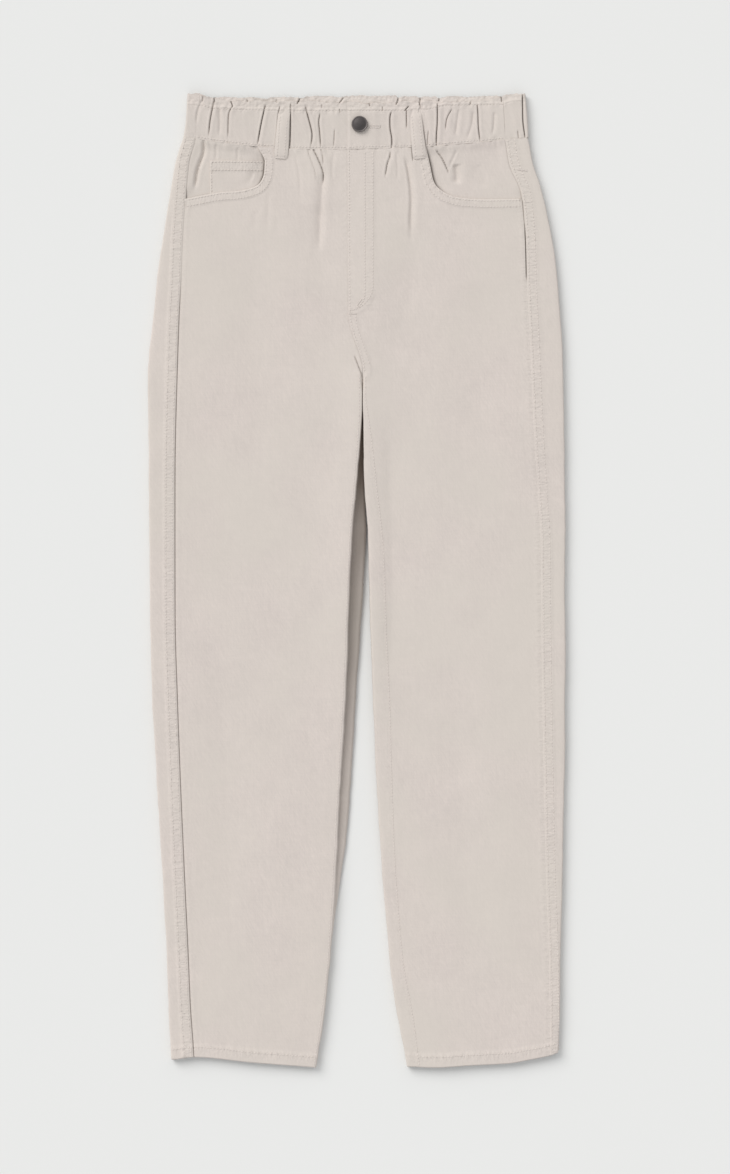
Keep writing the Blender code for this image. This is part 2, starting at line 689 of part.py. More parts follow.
def button(made_of):
    """A shank button: a short stem under a shallow domed cap with a rolled rim."""
    cap = SHANK_HEIGHT
    profile = (
        (0.0, 0.0),
        (SHANK_RADIUS, 0.0),
        (SHANK_RADIUS, cap),
        (BUTTON_RADIUS - 0.0008, cap),
        (BUTTON_RADIUS, cap + 0.0007),
        (BUTTON_RADIUS, cap + 0.0014),
        (BUTTON_RADIUS - 0.0006, cap + 0.0022),
        (0.6 * BUTTON_RADIUS, cap + 0.0029),
        (0.25 * BUTTON_RADIUS, cap + BUTTON_HEIGHT - 0.0003),
        (0.0, cap + BUTTON_HEIGHT - 0.0002),
    )
    rest = LAID_HEIGHT + LAP_RAISE + SEAM_GAP
    return turned("waist_button", profile, (BUTTON_X, BUTTON_Y, rest), made_of)


def centre_in_plan(objects):
    """Puts the middle of the garment's box over the origin."""
    bpy.context.view_layer.update()
    corners = [made.matrix_world @ Vector(corner) for made in objects for corner in made.bound_box]
    middle_x = (min(c.x for c in corners) + max(c.x for c in corners)) / 2
    middle_y = (min(c.y for c in corners) + max(c.y for c in corners)) / 2
    for made in objects:
        made.location.x -= middle_x
        made.location.y -= middle_y


def main():
    for leftover in list(bpy.data.objects):
        bpy.data.objects.remove(leftover)
    twill = material("twill", CLOTH_COLOUR, 0.9)
    inside_twill = material("pocket_twill", POCKET_COLOUR, 0.92)
    metal = material("button_metal", BUTTON_COLOUR, 0.42, 0.85)
    made = []
    for leg in (RIGHT, LEFT):
        made.append(wall(leg.name + "_front", front_skin(leg), CLOTH, twill))
        made.append(wall(leg.name + "_back", back_skin(leg), CLOTH, twill))
        made.append(wall(leg.name + "_pocket_facing", facing_skin(leg), POCKET_CLOTH, inside_twill))
        made.append(wall(leg.name + "_waistband_front", band_front_skin(leg), BAND_CLOTH, twill))
    made.append(wall("coin_pocket", coin_pocket_skin(), POCKET_CLOTH, inside_twill))
    made.append(wall("waistband_back", band_back_skin(), BAND_CLOTH, twill))
    for loop in LOOPS:
        made.append(wall(loop.name, loop_skin(loop), LOOP_CLOTH, twill))
    made.append(button(metal))
    centre_in_plan(made)


main()
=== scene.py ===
"""The looks of the mom jeans: pale twill with a gathered paper-bag waist, laid flat on their back.

Plan shapes are in metres, with x from the crotch line and y from the lowest point of the hems, as
they were measured; cloth_to_frame() moves them into the frame. Folds and gathers are in
millimetres. Right and left are the wearer's, so the right leg lies at -X.
"""

import math
from collections import namedtuple

import bpy
import numpy as np
from bpy.props import FloatProperty, FloatVectorProperty, PointerProperty
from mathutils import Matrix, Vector


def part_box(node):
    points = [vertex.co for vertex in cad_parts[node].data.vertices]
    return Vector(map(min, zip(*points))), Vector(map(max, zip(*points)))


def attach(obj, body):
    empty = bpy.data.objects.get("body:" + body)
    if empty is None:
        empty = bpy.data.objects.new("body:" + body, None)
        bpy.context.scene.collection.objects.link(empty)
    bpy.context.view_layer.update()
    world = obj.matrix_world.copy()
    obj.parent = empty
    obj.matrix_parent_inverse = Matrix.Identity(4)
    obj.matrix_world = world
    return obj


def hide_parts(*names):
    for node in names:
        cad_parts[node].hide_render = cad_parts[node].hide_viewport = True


bl_info = {
    "name": "Mom Jeans",
    "version": (1, 0, 0),
    "blender": (4, 5, 0),
    "location": "3D View > Sidebar > Mom Jeans",
    "description": "Dresses the mom jeans in twill, gathers, folds and stitching",
    "category": "Object",
}

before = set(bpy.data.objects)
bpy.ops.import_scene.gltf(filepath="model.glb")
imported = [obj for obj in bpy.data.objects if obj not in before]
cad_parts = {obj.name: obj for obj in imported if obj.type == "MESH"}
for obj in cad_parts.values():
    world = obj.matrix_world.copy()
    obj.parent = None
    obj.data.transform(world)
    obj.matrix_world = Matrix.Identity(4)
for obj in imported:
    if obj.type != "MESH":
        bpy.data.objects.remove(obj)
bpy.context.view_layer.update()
BUTTON_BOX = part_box("waist_button")

# The main sizes of the cloth, most of them the solids' own
LAID_HEIGHT = 0.0088
EDGE_ROLL = 0.0055
ROLL_ARC = math.pi / 2 * math.sqrt((EDGE_ROLL**2 + (LAID_HEIGHT / 2) ** 2) / 2)
HEM_DEPTH = 0.0125
HEM_FADE = 0.100
CROTCH_HEIGHT = 0.724
CROTCH_BLEND = 0.026
JOINED_HEIGHT = 0.702
WAIST_HEIGHT = 0.9554
WAIST_LOW_X = -0.039
WAIST_FADE = 0.115
BAND_TOP = 1.0105
BAND_SIDE_RISE = 0.0035
EDGE_FULLNESS = 0.22
LAP_X = -0.0161
UNDERLAP = 0.028
FLY_FOOT = 0.783
FLY_WIDTH = 0.0275
BUTTON_X = -0.0030
BUTTON_Y = 0.9813
SHIFT_X = (BUTTON_BOX[0][0] + BUTTON_BOX[1][0]) / 2 - BUTTON_X
SHIFT_Y = (BUTTON_BOX[0][1] + BUTTON_BOX[1][1]) / 2 - BUTTON_Y
MM = 0.001

# Gaps at an open and at a closed seam, how far each row of stitches lies from its seam, and how much
# of the inseam's way round the roll is out of sight from above
SEAM_GAP = 0.00016
CLOSED_GAP = 0.00002
SIDE_ROWS = (0.0027, 0.0098)
MOUTH_ROWS = (0.0017, 0.0080)
FLY_ROWS = (0.0185, 0.0268)
LAP_ROW = 0.0022
WAIST_ROW = 0.0022
INSEAM_ROW = 0.0030
HIDDEN_TURN = 0.0023
HEM_ROW = HEM_DEPTH - 0.0012
COIN_ROWS = (0.0013, 0.0098)
COIN_SIDE_ROW = 0.0018
LOOP_ROW = 0.0038

# The picture: its height and middle in pixels, the pixel at plan x 0 and y 0, and a pixel's size
PICTURE_HEIGHT = 1174
PICTURE_MIDDLE = (365.0, 587.0)
PICTURE_ORIGIN = (362.5, 1068.0)
PIXEL = 1.04 * MM
FLOOR_REACH = 8.0
FLOOR_Z = -0.0004

Section = namedtuple("Section", "height outer side_seam inner inseam_round")
RIGHT_SECTIONS = (
    Section(0.000, -0.1992, -0.1752, -0.0478, 0.0),
    Section(0.055, -0.2016, -0.1786, -0.0400, 0.0),
    Section(0.112, -0.2036, -0.1809, -0.0333, 0.0),
    Section(0.196, -0.2080, -0.1848, -0.0281, 0.0),
    Section(0.300, -0.2142, -0.1893, -0.0224, 0.0),
    Section(0.383, -0.2189, -0.1923, -0.0177, 0.0),
    Section(0.466, -0.2210, -0.1947, -0.0142, 0.0),
    Section(0.539, -0.2220, -0.1949, -0.0112, 0.0),
    Section(0.612, -0.2228, -0.1949, -0.0057, 0.0),
    Section(0.674, -0.2233, -0.1940, -0.0008, 0.0),
    Section(0.690, -0.2232, -0.1935, -0.00012, 0.0),
    Section(0.724, -0.2231, -0.1925, -0.00008, 0.0),
    Section(0.783, -0.2176, -0.1905, -0.0151, 0.0),
    Section(0.820, -0.2139, -0.1883, -0.0156, 0.0),
    Section(0.861, -0.2080, -0.1867, -0.0158, 0.0),
    Section(0.903, -0.1994, -0.1834, -0.0159, 0.0),
    Section(0.931, -0.1940, -0.1804, -0.0161, 0.0),
    Section(0.9554, -0.1863, -0.1738, -0.0161, 0.0),
)
LEFT_SECTIONS = (
    Section(0.000, 0.2037, 0.1947, 0.0468, 0.0118),
    Section(0.055, 0.2057, 0.1943, 0.0362, 0.0150),
    Section(0.112, 0.2064, 0.1935, 0.0284, 0.0127),
    Section(0.196, 0.2083, 0.1906, 0.0211, 0.0129),
    Section(0.300, 0.2101, 0.1882, 0.0145, 0.0150),
    Section(0.383, 0.2112, 0.1867, 0.0112, 0.0160),
    Section(0.466, 0.2110, 0.1856, 0.0074, 0.0160),
    Section(0.539, 0.2112, 0.1851, 0.0057, 0.0150),
    Section(0.612, 0.2110, 0.1810, 0.0021, 0.0110),
    Section(0.674, 0.2099, 0.1773, 0.0008, 0.0050),
    Section(0.690, 0.2097, 0.1766, 0.00012, 0.0030),
    Section(0.724, 0.2091, 0.1752, 0.00008, 0.0),
    Section(0.783, 0.2062, 0.1724, -0.0151, 0.0),
    Section(0.820, 0.2032, 0.1706, -0.0156, 0.0),
    Section(0.861, 0.1975, 0.1695, -0.0158, 0.0),
    Section(0.903, 0.1874, 0.1648, -0.0159, 0.0),
    Section(0.931, 0.1773, 0.1524, -0.0161, 0.0),
    Section(0.9554, 0.1719, 0.1481, -0.0161, 0.0),
)
BandRow = namedtuple("BandRow", "share right_edge right_seam left_seam left_edge")
BAND_ROWS = (
    BandRow(0.00, -0.1863, -0.1738, 0.1481, 0.1729),
    BandRow(0.30, -0.1843, -0.1730, 0.1476, 0.1723),
    BandRow(0.64, -0.1832, -0.1705, 0.1467, 0.1711),
    BandRow(1.00, -0.1823, -0.1690, 0.1457, 0.1696),
)
HemPoint = namedtuple("HemPoint", "x lift")
RIGHT_HEM = (
    HemPoint(-0.1992, 0.0083),
    HemPoint(-0.1752, 0.0109),
    HemPoint(-0.1149, 0.0052),
    HemPoint(-0.0478, 0.0000),
)
LEFT_HEM = (
    HemPoint(0.0468, 0.0010),
    HemPoint(0.0739, 0.0000),
    HemPoint(0.1110, 0.0021),
    HemPoint(0.1510, 0.0042),
    HemPoint(0.1747, 0.0083),
    HemPoint(0.1947, 0.0125),
    HemPoint(0.2037, 0.0156),
)
RIGHT_MOUTH = (
    (-0.1865, 0.9035),
    (-0.1648, 0.9080),
    (-0.1461, 0.9111),
    (-0.1274, 0.9126),
    (-0.1108, 0.9173),
    (-0.1035, 0.9266),
    (-0.1019, 0.9391),
    (-0.1025, 0.9464),
    (-0.1092, 0.9578),
)
LEFT_MOUTH = (
    (0.1659, 0.9040),
    (0.1430, 0.9037),
    (0.1222, 0.9037),
    (0.1014, 0.9053),
    (0.0910, 0.9079),
    (0.0816, 0.9131),
    (0.0744, 0.9214),
    (0.0702, 0.9391),
    (0.0660, 0.9580),
)
COIN_LEFT_X = -0.1589
COIN_RIGHT_X = -0.0980
COIN_TOP_Y = 0.9438
COIN_FOOT_Y = 0.9020

# Creases of the gathered band and folds below it, in millimetres: depth, how far each side falls
# away towards -X and +X, the height of the lip beside it, and its path from the waist downwards
Fold = namedtuple("Fold", "depth near_side far_side lip path")
BAND_CREASES = (
    Fold(1.0, 1.0, 1.6, 0.2, ((-166.8, 1007.3), (-171.6, 994.8), (-173.1, 981.6))),
    Fold(2.4, 0.8, 1.6, 0.5, ((-154.0, 1008.0), (-158.4, 985.7), (-160.1, 968.3))),
    Fold(0.9, 1.6, 1.6, 0.2, ((-148.6, 1001.1), (-148.4, 981.6), (-149.3, 967.6))),
    Fold(1.5, 0.8, 1.4, 0.3, ((-135.8, 999.6), (-139.2, 991.3), (-140.0, 966.0))),
    Fold(3.2, 0.7, 1.6, 0.5, ((-101.0, 1001.7), (-105.5, 981.6), (-109.4, 959.3))),
    Fold(1.8, 0.7, 1.2, 0.2, ((-85.7, 1001.0), (-87.7, 991.3), (-89.0, 971.8), (-91.5, 954.0))),
    Fold(3.6, 0.7, 1.2, 0.3, ((-74.7, 1003.0), (-75.1, 985.0), (-75.6, 962.0), (-77.0, 950.0))),
    Fold(2.8, 0.7, 1.6, 0.5, ((-59.5, 1000.4), (-53.2, 975.9), (-52.5, 967.6), (-54.0, 957.2))),
    Fold(2.2, 0.8, 1.4, 0.3, ((-44.2, 992.7), (-45.5, 984.0), (-44.4, 972.0), (-43.3, 955.8))),
    Fold(1.2, 0.9, 1.2, 0.1, ((-29.0, 976.0), (-30.0, 957.0))),
    Fold(2.8, 0.8, 1.5, 0.5, (
        (30.6, 994.8), (28.7, 990.0), (28.7, 977.6), (30.4, 967.6), (30.4, 959.3), (28.7, 952.0),
    )),
    Fold(1.9, 0.8, 1.0, 0.2, ((45.7, 997.0), (45.9, 976.1))),
    Fold(3.0, 0.8, 1.5, 0.4, (
        (60.6, 1001.0), (59.0, 992.2), (60.6, 984.1), (62.9, 974.5), (64.7, 961.5), (66.3, 954.5),
    )),
    Fold(1.2, 0.8, 0.8, 0.1, ((68.5, 974.6), (67.1, 957.8))),
    Fold(2.4, 0.7, 0.9, 0.1, ((51.4, 972.0), (51.6, 964.0), (51.8, 952.0))),
    Fold(2.8, 0.8, 1.6, 0.5, ((78.0, 1004.0), (77.8, 983.1), (76.9, 968.8), (76.9, 955.0))),
    Fold(1.6, 0.9, 1.8, 0.2, ((93.1, 997.4), (87.7, 987.0), (86.3, 974.5))),
    Fold(1.0, 1.4, 1.8, 0.2, ((100.4, 997.4), (98.1, 979.7), (96.7, 968.8))),
    Fold(0.9, 1.6, 2.0, 0.1, ((115.6, 994.9), (113.4, 979.7), (108.4, 965.1))),
    Fold(2.4, 0.8, 1.4, 0.4, (
        (119.5, 1002.0), (120.1, 992.2), (120.5, 979.7), (121.9, 966.9), (122.8, 960.6),
    )),
    Fold(1.0, 1.4, 1.8, 0.1, ((137.3, 994.2), (136.8, 981.3), (135.0, 969.6))),
    Fold(3.4, 0.7, 1.3, 0.2, (
        (166.4, 1013.0), (166.6, 1000.0), (167.0, 984.0), (168.8, 970.0), (169.6, 962.0),
    )),
    Fold(1.4, 0.8, 1.2, 0.1, ((161.4, 975.0), (162.4, 967.0), (163.4, 961.0))),
)
FRONT_FOLDS = (
    Fold(2.2, 0.9, 3.0, 0.5, (
        (-54.0, 958.0), (-51.9, 956.5), (-45.6, 943.9), (-40.8, 930.1), (-41.8, 916.1),
    )),
    Fold(1.9, 4.0, 3.0, 0.3, ((-41.5, 931.0), (-42.5, 908.0), (-44.0, 880.0), (-45.0, 846.0))),
    Fold(0.8, 0.9, 1.5, 0.1, ((-58.0, 958.0), (-55.0, 948.0), (-50.0, 934.0), (-47.5, 920.0))),
    Fold(1.2, 0.8, 1.8, 0.2, ((-43.5, 957.8), (-41.4, 946.7), (-41.0, 938.0))),
    Fold(0.5, 2.0, 2.0, 0.1, ((-98.3, 910.0), (-97.8, 896.5), (-98.8, 883.0), (-98.3, 866.3))),
    Fold(0.4, 2.0, 2.0, 0.1, ((-111.8, 890.2), (-111.8, 873.6))),
    Fold(2.0, 0.8, 2.0, 0.4, ((28.8, 953.0), (28.4, 947.0), (26.0, 941.2), (23.4, 925.6))),
    Fold(2.1, 1.2, 3.0, 0.4, ((44.2, 946.3), (47.6, 931.4), (50.4, 906.4), (49.7, 882.6), (50.4, 858.1))),
    Fold(2.2, 0.7, 0.9, 0.1, ((51.8, 958.0), (52.0, 950.0), (52.6, 942.0))),
    Fold(0.6, 1.2, 1.6, 0.1, ((35.0, 952.0), (36.5, 936.0), (36.0, 921.0))),
    Fold(0.5, 1.4, 1.6, 0.1, ((-70.0, 950.0), (-66.0, 930.0), (-64.0, 905.0))),
    Fold(0.5, 1.6, 1.6, 0.1, ((-30.0, 952.0), (-31.5, 936.0), (-31.0, 922.0))),
    Fold(1.4, 0.8, 1.6, 0.3, ((-8.4, 741.0), (-3.8, 729.0), (-0.4, 720.1), (1.4, 712.0))),
    Fold(1.0, 0.8, 1.2, 0.2, ((164.4, 911.5), (165.8, 904.0), (167.2, 894.0), (168.2, 880.0))),
    Fold(0.7, 0.9, 1.2, 0.1, ((161.8, 912.5), (163.4, 907.0), (164.6, 899.0))),
    Fold(0.9, 7.0, 10.0, 0.1, ((26.5, 663.5), (29.6, 590.7), (30.7, 486.7), (27.6, 382.7))),
    Fold(1.3, 16.0, 22.0, 0.3, ((-46.0, 900.0), (-44.0, 840.0), (-36.0, 790.0), (-22.0, 745.0))),
    Fold(1.1, 18.0, 18.0, 0.3, ((56.0, 880.0), (50.0, 810.0), (34.0, 750.0), (26.0, 690.0))),
    Fold(0.9, 22.0, 26.0, 0.3, ((-118.0, 860.0), (-108.0, 740.0), (-104.0, 600.0))),
    Fold(0.8, 20.0, 22.0, 0.2, ((128.0, 820.0), (122.0, 700.0), (118.0, 540.0))),
    Fold(0.8, 18.0, 22.0, 0.2, ((-146.0, 420.0), (-142.0, 270.0), (-134.0, 110.0))),
    Fold(0.8, 18.0, 22.0, 0.2, ((92.0, 430.0), (104.0, 260.0), (112.0, 90.0))),
)
FACING_FOLDS = (
    Fold(2.6, 1.5, 1.7, 0.4, ((-165.4, 966.3), (-165.4, 952.3), (-171.6, 934.1), (-174.8, 911.3))),
    Fold(0.8, 1.2, 1.2, 0.2, ((-152.2, 961.0), (-152.2, 944.7))),
    Fold(0.7, 1.2, 1.2, 0.2, ((-129.9, 957.1), (-129.9, 943.4))),
    Fold(0.9, 4.0, 1.5, 0.2, ((-113.0, 932.0), (-117.0, 922.0), (-124.0, 913.0))),
    Fold(2.3, 0.8, 2.0, 0.4, ((76.3, 955.3), (78.3, 952.3), (82.7, 946.4), (88.0, 935.6), (90.0, 929.0))),
    Fold(0.9, 1.4, 1.0, 0.2, ((98.0, 954.3), (96.0, 949.0), (92.2, 941.2), (90.5, 934.0))),
    Fold(3.0, 3.2, 4.2, 0.2, ((96.8, 940.0), (98.0, 931.0), (97.6, 919.0))),
    Fold(0.5, 6.0, 5.0, 0.1, ((120.0, 940.0), (126.0, 928.0), (124.0, 914.0))),
)
# Small notches along the frill, drawn like the creases
FRILL_NOTCHES = (
    Fold(1.0, 0.7, 1.0, 0.1, ((-166.9, 1011.5), (-165.8, 1008.0), (-167.0, 1004.0))),
    Fold(1.8, 0.7, 1.0, 0.2, ((-154.4, 1009.8), (-154.0, 1004.0))),
    Fold(2.2, 0.7, 1.2, 0.3, ((-137.2, 1005.6), (-135.2, 1001.0), (-136.2, 998.0))),
    Fold(1.6, 0.8, 1.0, 0.2, ((-120.5, 1008.0), (-119.0, 1004.5))),
    Fold(1.0, 0.8, 1.2, 0.1, ((-89.9, 1008.0), (-89.0, 1003.0))),
    Fold(2.6, 0.7, 1.2, 0.3, ((-65.0, 1009.5), (-68.3, 1002.2))),
    Fold(1.0, 0.8, 1.2, 0.1, ((-42.5, 1002.5), (-42.0, 998.0))),
    Fold(2.2, 0.7, 1.0, 0.2, ((-19.6, 1009.9), (-25.0, 1003.0))),
    Fold(1.2, 0.7, 1.0, 0.1, ((-24.0, 997.5), (-23.0, 993.0))),
    Fold(1.8, 0.7, 1.0, 0.1, ((6.6, 1003.2), (8.0, 1000.0))),
    Fold(1.2, 0.7, 1.0, 0.1, ((20.7, 1000.0), (20.9, 995.0))),
    Fold(2.6, 0.7, 1.2, 0.3, ((37.4, 1011.0), (36.6, 1006.0), (34.6, 1001.0))),
    Fold(2.4, 0.7, 1.0, 0.2, ((48.0, 1000.4), (43.4, 995.0))),
    Fold(2.2, 0.7, 1.0, 0.2, ((60.3, 1010.0), (59.3, 1002.9), (60.6, 999.4))),
    Fold(2.4, 0.7, 1.0, 0.2, ((80.3, 1010.0), (79.0, 1004.8))),
    Fold(1.6, 0.7, 1.0, 0.1, ((113.0, 1006.2), (111.6, 1001.0))),
    Fold(1.8, 0.7, 1.0, 0.2, ((144.6, 1011.5), (144.7, 1004.0))),
)
EdgePoint = namedtuple("EdgePoint", "x y")
# The uneven top edges, in millimetres: the front's frill stands lower, and the back's shows behind
FRONT_EDGE = tuple(
    EdgePoint(x * MM, y * MM)
    for x, y in (
        (-190, 1012.0), (-174, 1011.4), (-164, 1010.4), (-154, 1008.8), (-143, 1006.7), (-136, 1004.6),
        (-127, 1006.2), (-119, 1005.1), (-109, 1006.7), (-100, 1005.1), (-90, 1004.6), (-80, 1005.7),
        (-73, 1005.7), (-67, 1004.1), (-60, 1006.2), (-49, 1005.7), (-39, 1004.1), (-31, 1004.6),
        (-23, 1003.1), (-15, 1005.1), (-5, 1004.1), (6, 1002.6), (14, 1004.1), (22, 1002.6), (31, 1005.1),
        (36, 1003.6), (43, 1005.7), (51, 1004.6), (59, 1003.6), (66, 1006.2), (73, 1005.1), (80, 1003.6),
        (87, 1005.1), (96, 1004.1), (105, 1005.1), (112, 1003.6), (120, 1006.2), (131, 1006.7), (139, 1007.8),
        (145, 1009.3), (153, 1011.0), (170, 1012.0),
    )
)
BACK_EDGE = tuple(
    EdgePoint(x * MM, y * MM)
    for x, y in (
        (-190, 1013.8), (-181, 1013.6), (-168, 1013.4), (-162, 1011.0), (-155, 1009.8), (-148, 1010.4),
        (-134, 1010.2), (-128, 1009.4), (-117, 1010.0), (-108, 1009.1), (-101, 1008.7), (-95, 1009.8),
        (-84, 1010.4), (-70, 1010.2), (-64, 1009.0), (-58, 1011.2), (-45, 1011.6), (-31, 1011.4), (-24, 1010.4),
        (-12, 1011.8), (-2, 1012.0), (10, 1011.4), (22, 1012.2), (34, 1012.0), (37, 1009.8), (42, 1011.2),
        (56, 1011.4), (60, 1009.6), (65, 1010.8), (77, 1010.9), (80, 1009.4), (88, 1010.6), (100, 1011.0),
        (112, 1010.4), (124, 1011.2), (137, 1011.8), (144, 1010.9), (150, 1012.8), (158, 1013.5), (172, 1013.6),
    )
)
Loop = namedtuple("Loop", "name top_x top_y foot_x foot_y")
LOOPS = (
    Loop("right_belt_loop", -0.0812, 0.9990, -0.0853, 0.9446),
    Loop("left_belt_loop", 0.0542, 1.0000, 0.0594, 0.9446),
)


class JeansSizes(bpy.types.PropertyGroup):
    """How thick the cloth is, and how strongly it is folded, gathered and sewn."""

    cloth: FloatProperty(name="Cloth", description="Thickness of the twill", default=0.0011, unit="LENGTH")
    pocket_cloth: FloatProperty(
        name="Pocket cloth",
        description="Thickness of the facings and coin pocket",
        default=0.0008,
        unit="LENGTH",
    )
    gather: FloatProperty(name="Gathers", description="Share of the band creases' full depth", default=1.0)
    fold: FloatProperty(name="Folds", description="Share of the body folds' full depth", default=1.0)
    hills: FloatProperty(
        name="Unevenness", description="Height of the cloth's soft hills", default=0.00034, unit="LENGTH"
    )
    pucker: FloatProperty(
        name="Puckers", description="Height of the ripples beside a seam", default=0.00026, unit="LENGTH"
    )
    stitch: FloatProperty(name="Stitch", description="Length of one stitch", default=0.0027, unit="LENGTH")
    stitch_step: FloatProperty(
        name="Stitch step", description="From one stitch to the next", default=0.0033, unit="LENGTH"
    )
    thread: FloatProperty(
        name="Thread", description="Thickness of the topstitching thread", default=0.00074, unit="LENGTH"
    )
    loop_width: FloatProperty(
        name="Loop width", description="Width of a belt loop", default=0.0125, unit="LENGTH"
    )
    button: FloatProperty(
        name="Button", description="Radius of the waist button", default=0.0084, unit="LENGTH"
    )


class JeansColours(bpy.types.PropertyGroup):
    """Colours of the cloth, thread, button and floor."""

    twill: FloatVectorProperty(
        name="Twill", description="The cloth", subtype="COLOR", size=3, default=(0.668, 0.602, 0.560)
    )
    thread: FloatVectorProperty(
        name="Thread",
        description="The topstitching",
        subtype="COLOR",
        size=3,
        default=(0.745, 0.685, 0.640),
    )
    metal: FloatVectorProperty(
        name="Metal", description="The waist button", subtype="COLOR", size=3, default=(0.085, 0.078, 0.078)
    )
    floor: FloatVectorProperty(
        name="Floor", description="The studio floor", subtype="COLOR", size=3, default=(0.80, 0.805, 0.795)
    )


def sizes():
    return bpy.context.scene.jeans_sizes


def colours():
    return bpy.context.scene.jeans_colours


# Curves and soft noise


def smooth(share):
    """0 below 0, 1 above 1, and an even ease between them."""
    share = np.clip(share, 0.0, 1.0)
    return share * share * (3 - 2 * share)


def bump(far, reach):
    """1 at no distance, falling away softly over that reach."""
    return np.exp(-((far / reach) ** 2))


class Curve:
    """A curve through one column of a table that never passes the values on either side."""

    def __init__(self, rows, column):
        self.keys = np.array([row[0] for row in rows])
        self.values = np.array([getattr(row, column) for row in rows])
        rise = np.diff(self.values) / np.diff(self.keys)
        slopes = np.zeros(len(self.keys))
        same = rise[:-1] * rise[1:] > 0
        total = np.where(same, rise[:-1] + rise[1:], 1.0)
        slopes[1:-1] = np.where(same, 2 * rise[:-1] * rise[1:] / total, 0.0)
        slopes[0], slopes[-1] = slopes[1], slopes[-2]
        self.slopes = slopes

    def __call__(self, at):
        at = np.clip(at, self.keys[0], self.keys[-1])
        i = np.clip(np.searchsorted(self.keys, at, side="right") - 1, 0, len(self.keys) - 2)
        span = self.keys[i + 1] - self.keys[i]
        t = (at - self.keys[i]) / span
        start = self.values[i] * (2 * t**3 - 3 * t**2 + 1) + self.slopes[i] * span * (t**3 - 2 * t**2 + t)
        end = self.values[i + 1] * (3 * t**2 - 2 * t**3) + self.slopes[i + 1] * span * (t**3 - t**2)
        return start + end


def mottled(x, y, hill, seed):
    """Soft relief from -1 to 1 whose hills have that size."""
    lattice = np.random.default_rng(seed).uniform(-1, 1, (61, 67))
    u, v = np.asarray(x) / hill, np.asarray(y) / hill
    i, j = np.floor(u).astype(int), np.floor(v).astype(int)
    fu, fv = smooth(u - i), smooth(v - j)
    i, j, right, above = i % 61, j % 67, (i + 1) % 61, (j + 1) % 67
    low = lattice[i, j] * (1 - fu) + lattice[right, j] * fu
    high = lattice[i, above] * (1 - fu) + lattice[right, above] * fu
    return low * (1 - fv) + high * fv


def curved(points, step):
    """A smooth path through plan points, resampled at about that step."""
    points = np.array(points, dtype=float)
    ends = np.vstack([2 * points[0] - points[1], points, 2 * points[-1] - points[-2]])
    fine = []
    for a, b, c, d in zip(ends, ends[1:], ends[2:], ends[3:]):
        t = np.linspace(0, 1, 12, endpoint=False)[:, None]
        bend, twist = 2 * a - 5 * b + 4 * c - d, 3 * b - a - 3 * c + d
        fine.append(0.5 * (2 * b + (c - a) * t + bend * t**2 + twist * t**3))
    fine = np.vstack(fine + [points[-1:]])
    return resampled(fine, step)


def resampled(path, step):
    """The same path with points at an even step."""
    lengths = np.concatenate([[0], np.cumsum(np.linalg.norm(np.diff(path, axis=0), axis=1))])
    count = max(2, int(round(lengths[-1] / step)) + 1)
    at = np.linspace(0, lengths[-1], count)
    return np.stack([np.interp(at, lengths, path[:, k]) for k in range(path.shape[1])], axis=1)


def plan(x, y):
    """Plan points from their x and y, either of which may be one number."""
    return np.stack(np.broadcast_arrays(x, y), axis=1)


def beside(path, away):
    """The path moved sideways, to the left of its own direction."""
    run = np.gradient(path, axis=0)
    run /= np.linalg.norm(run, axis=1)[:, None]
    return path + np.stack([-run[:, 1], run[:, 0]], axis=1) * away


def off_path(path, x, y):
    """(distance, side, distance along) from a path: side is 1 to the left of its direction."""
    x, y = np.asarray(x), np.asarray(y)
    far = np.full(x.shape, 9.0)
    side = np.ones(x.shape)
    along = np.zeros(x.shape)
    walked = 0.0
    for (ax, ay), (bx, by) in zip(path, path[1:]):
        dx, dy = bx - ax, by - ay
        length = math.hypot(dx, dy)
        t = np.clip(((x - ax) * dx + (y - ay) * dy) / length**2, 0, 1)
        here = np.hypot(x - ax - t * dx, y - ay - t * dy)
        nearer = here < far
        far = np.where(nearer, here, far)
        side = np.where(nearer, np.where(dx * (y - ay) - dy * (x - ax) >= 0, 1.0, -1.0), side)
        along = np.where(nearer, walked + t * length, along)
        walked += length
    return far, side, along


# The cloth's plan


RIGHT_HEM_LIFT = Curve(RIGHT_HEM, "lift")
LEFT_HEM_LIFT = Curve(LEFT_HEM, "lift")
BAND = {column: Curve(BAND_ROWS, column) for column in BandRow._fields[1:]}


def waist_rise(x):
    """How far the waist seam curves up towards the sides."""
    on_right = x < WAIST_LOW_X
    reach = np.where(on_right, 0.1456, 0.2028)
    return np.where(on_right, 0.0130, 0.0118) * ((x - WAIST_LOW_X) / reach) ** 2


def laid(x, height):
    """Where a point of that height lies once hem and waist follow their curves."""
    hem = np.where(x < 0, RIGHT_HEM_LIFT(x), LEFT_HEM_LIFT(x)) * (1 - smooth(height / HEM_FADE))
    return height + hem + waist_rise(x) * smooth(1 - (WAIST_HEIGHT - height) / WAIST_FADE)


def height_of(x, y):
    """The height that laid() moves to y."""
    height = np.array(y, dtype=float)
    for _ in range(6):
        height = height + y - laid(x, height)
    return height


def band_y(x, share, extra=0.0):
    """The waistband's y at a share of its height."""
    low = WAIST_HEIGHT + waist_rise(x)
    side = smooth((np.abs(x + 0.005) - 0.150) / 0.012)
    return low + share * (BAND_TOP + extra + BAND_SIDE_RISE * side - low)


RIGHT_INNER = Curve(RIGHT_SECTIONS, "inner")
LEFT_INNER = Curve(LEFT_SECTIONS, "inner")


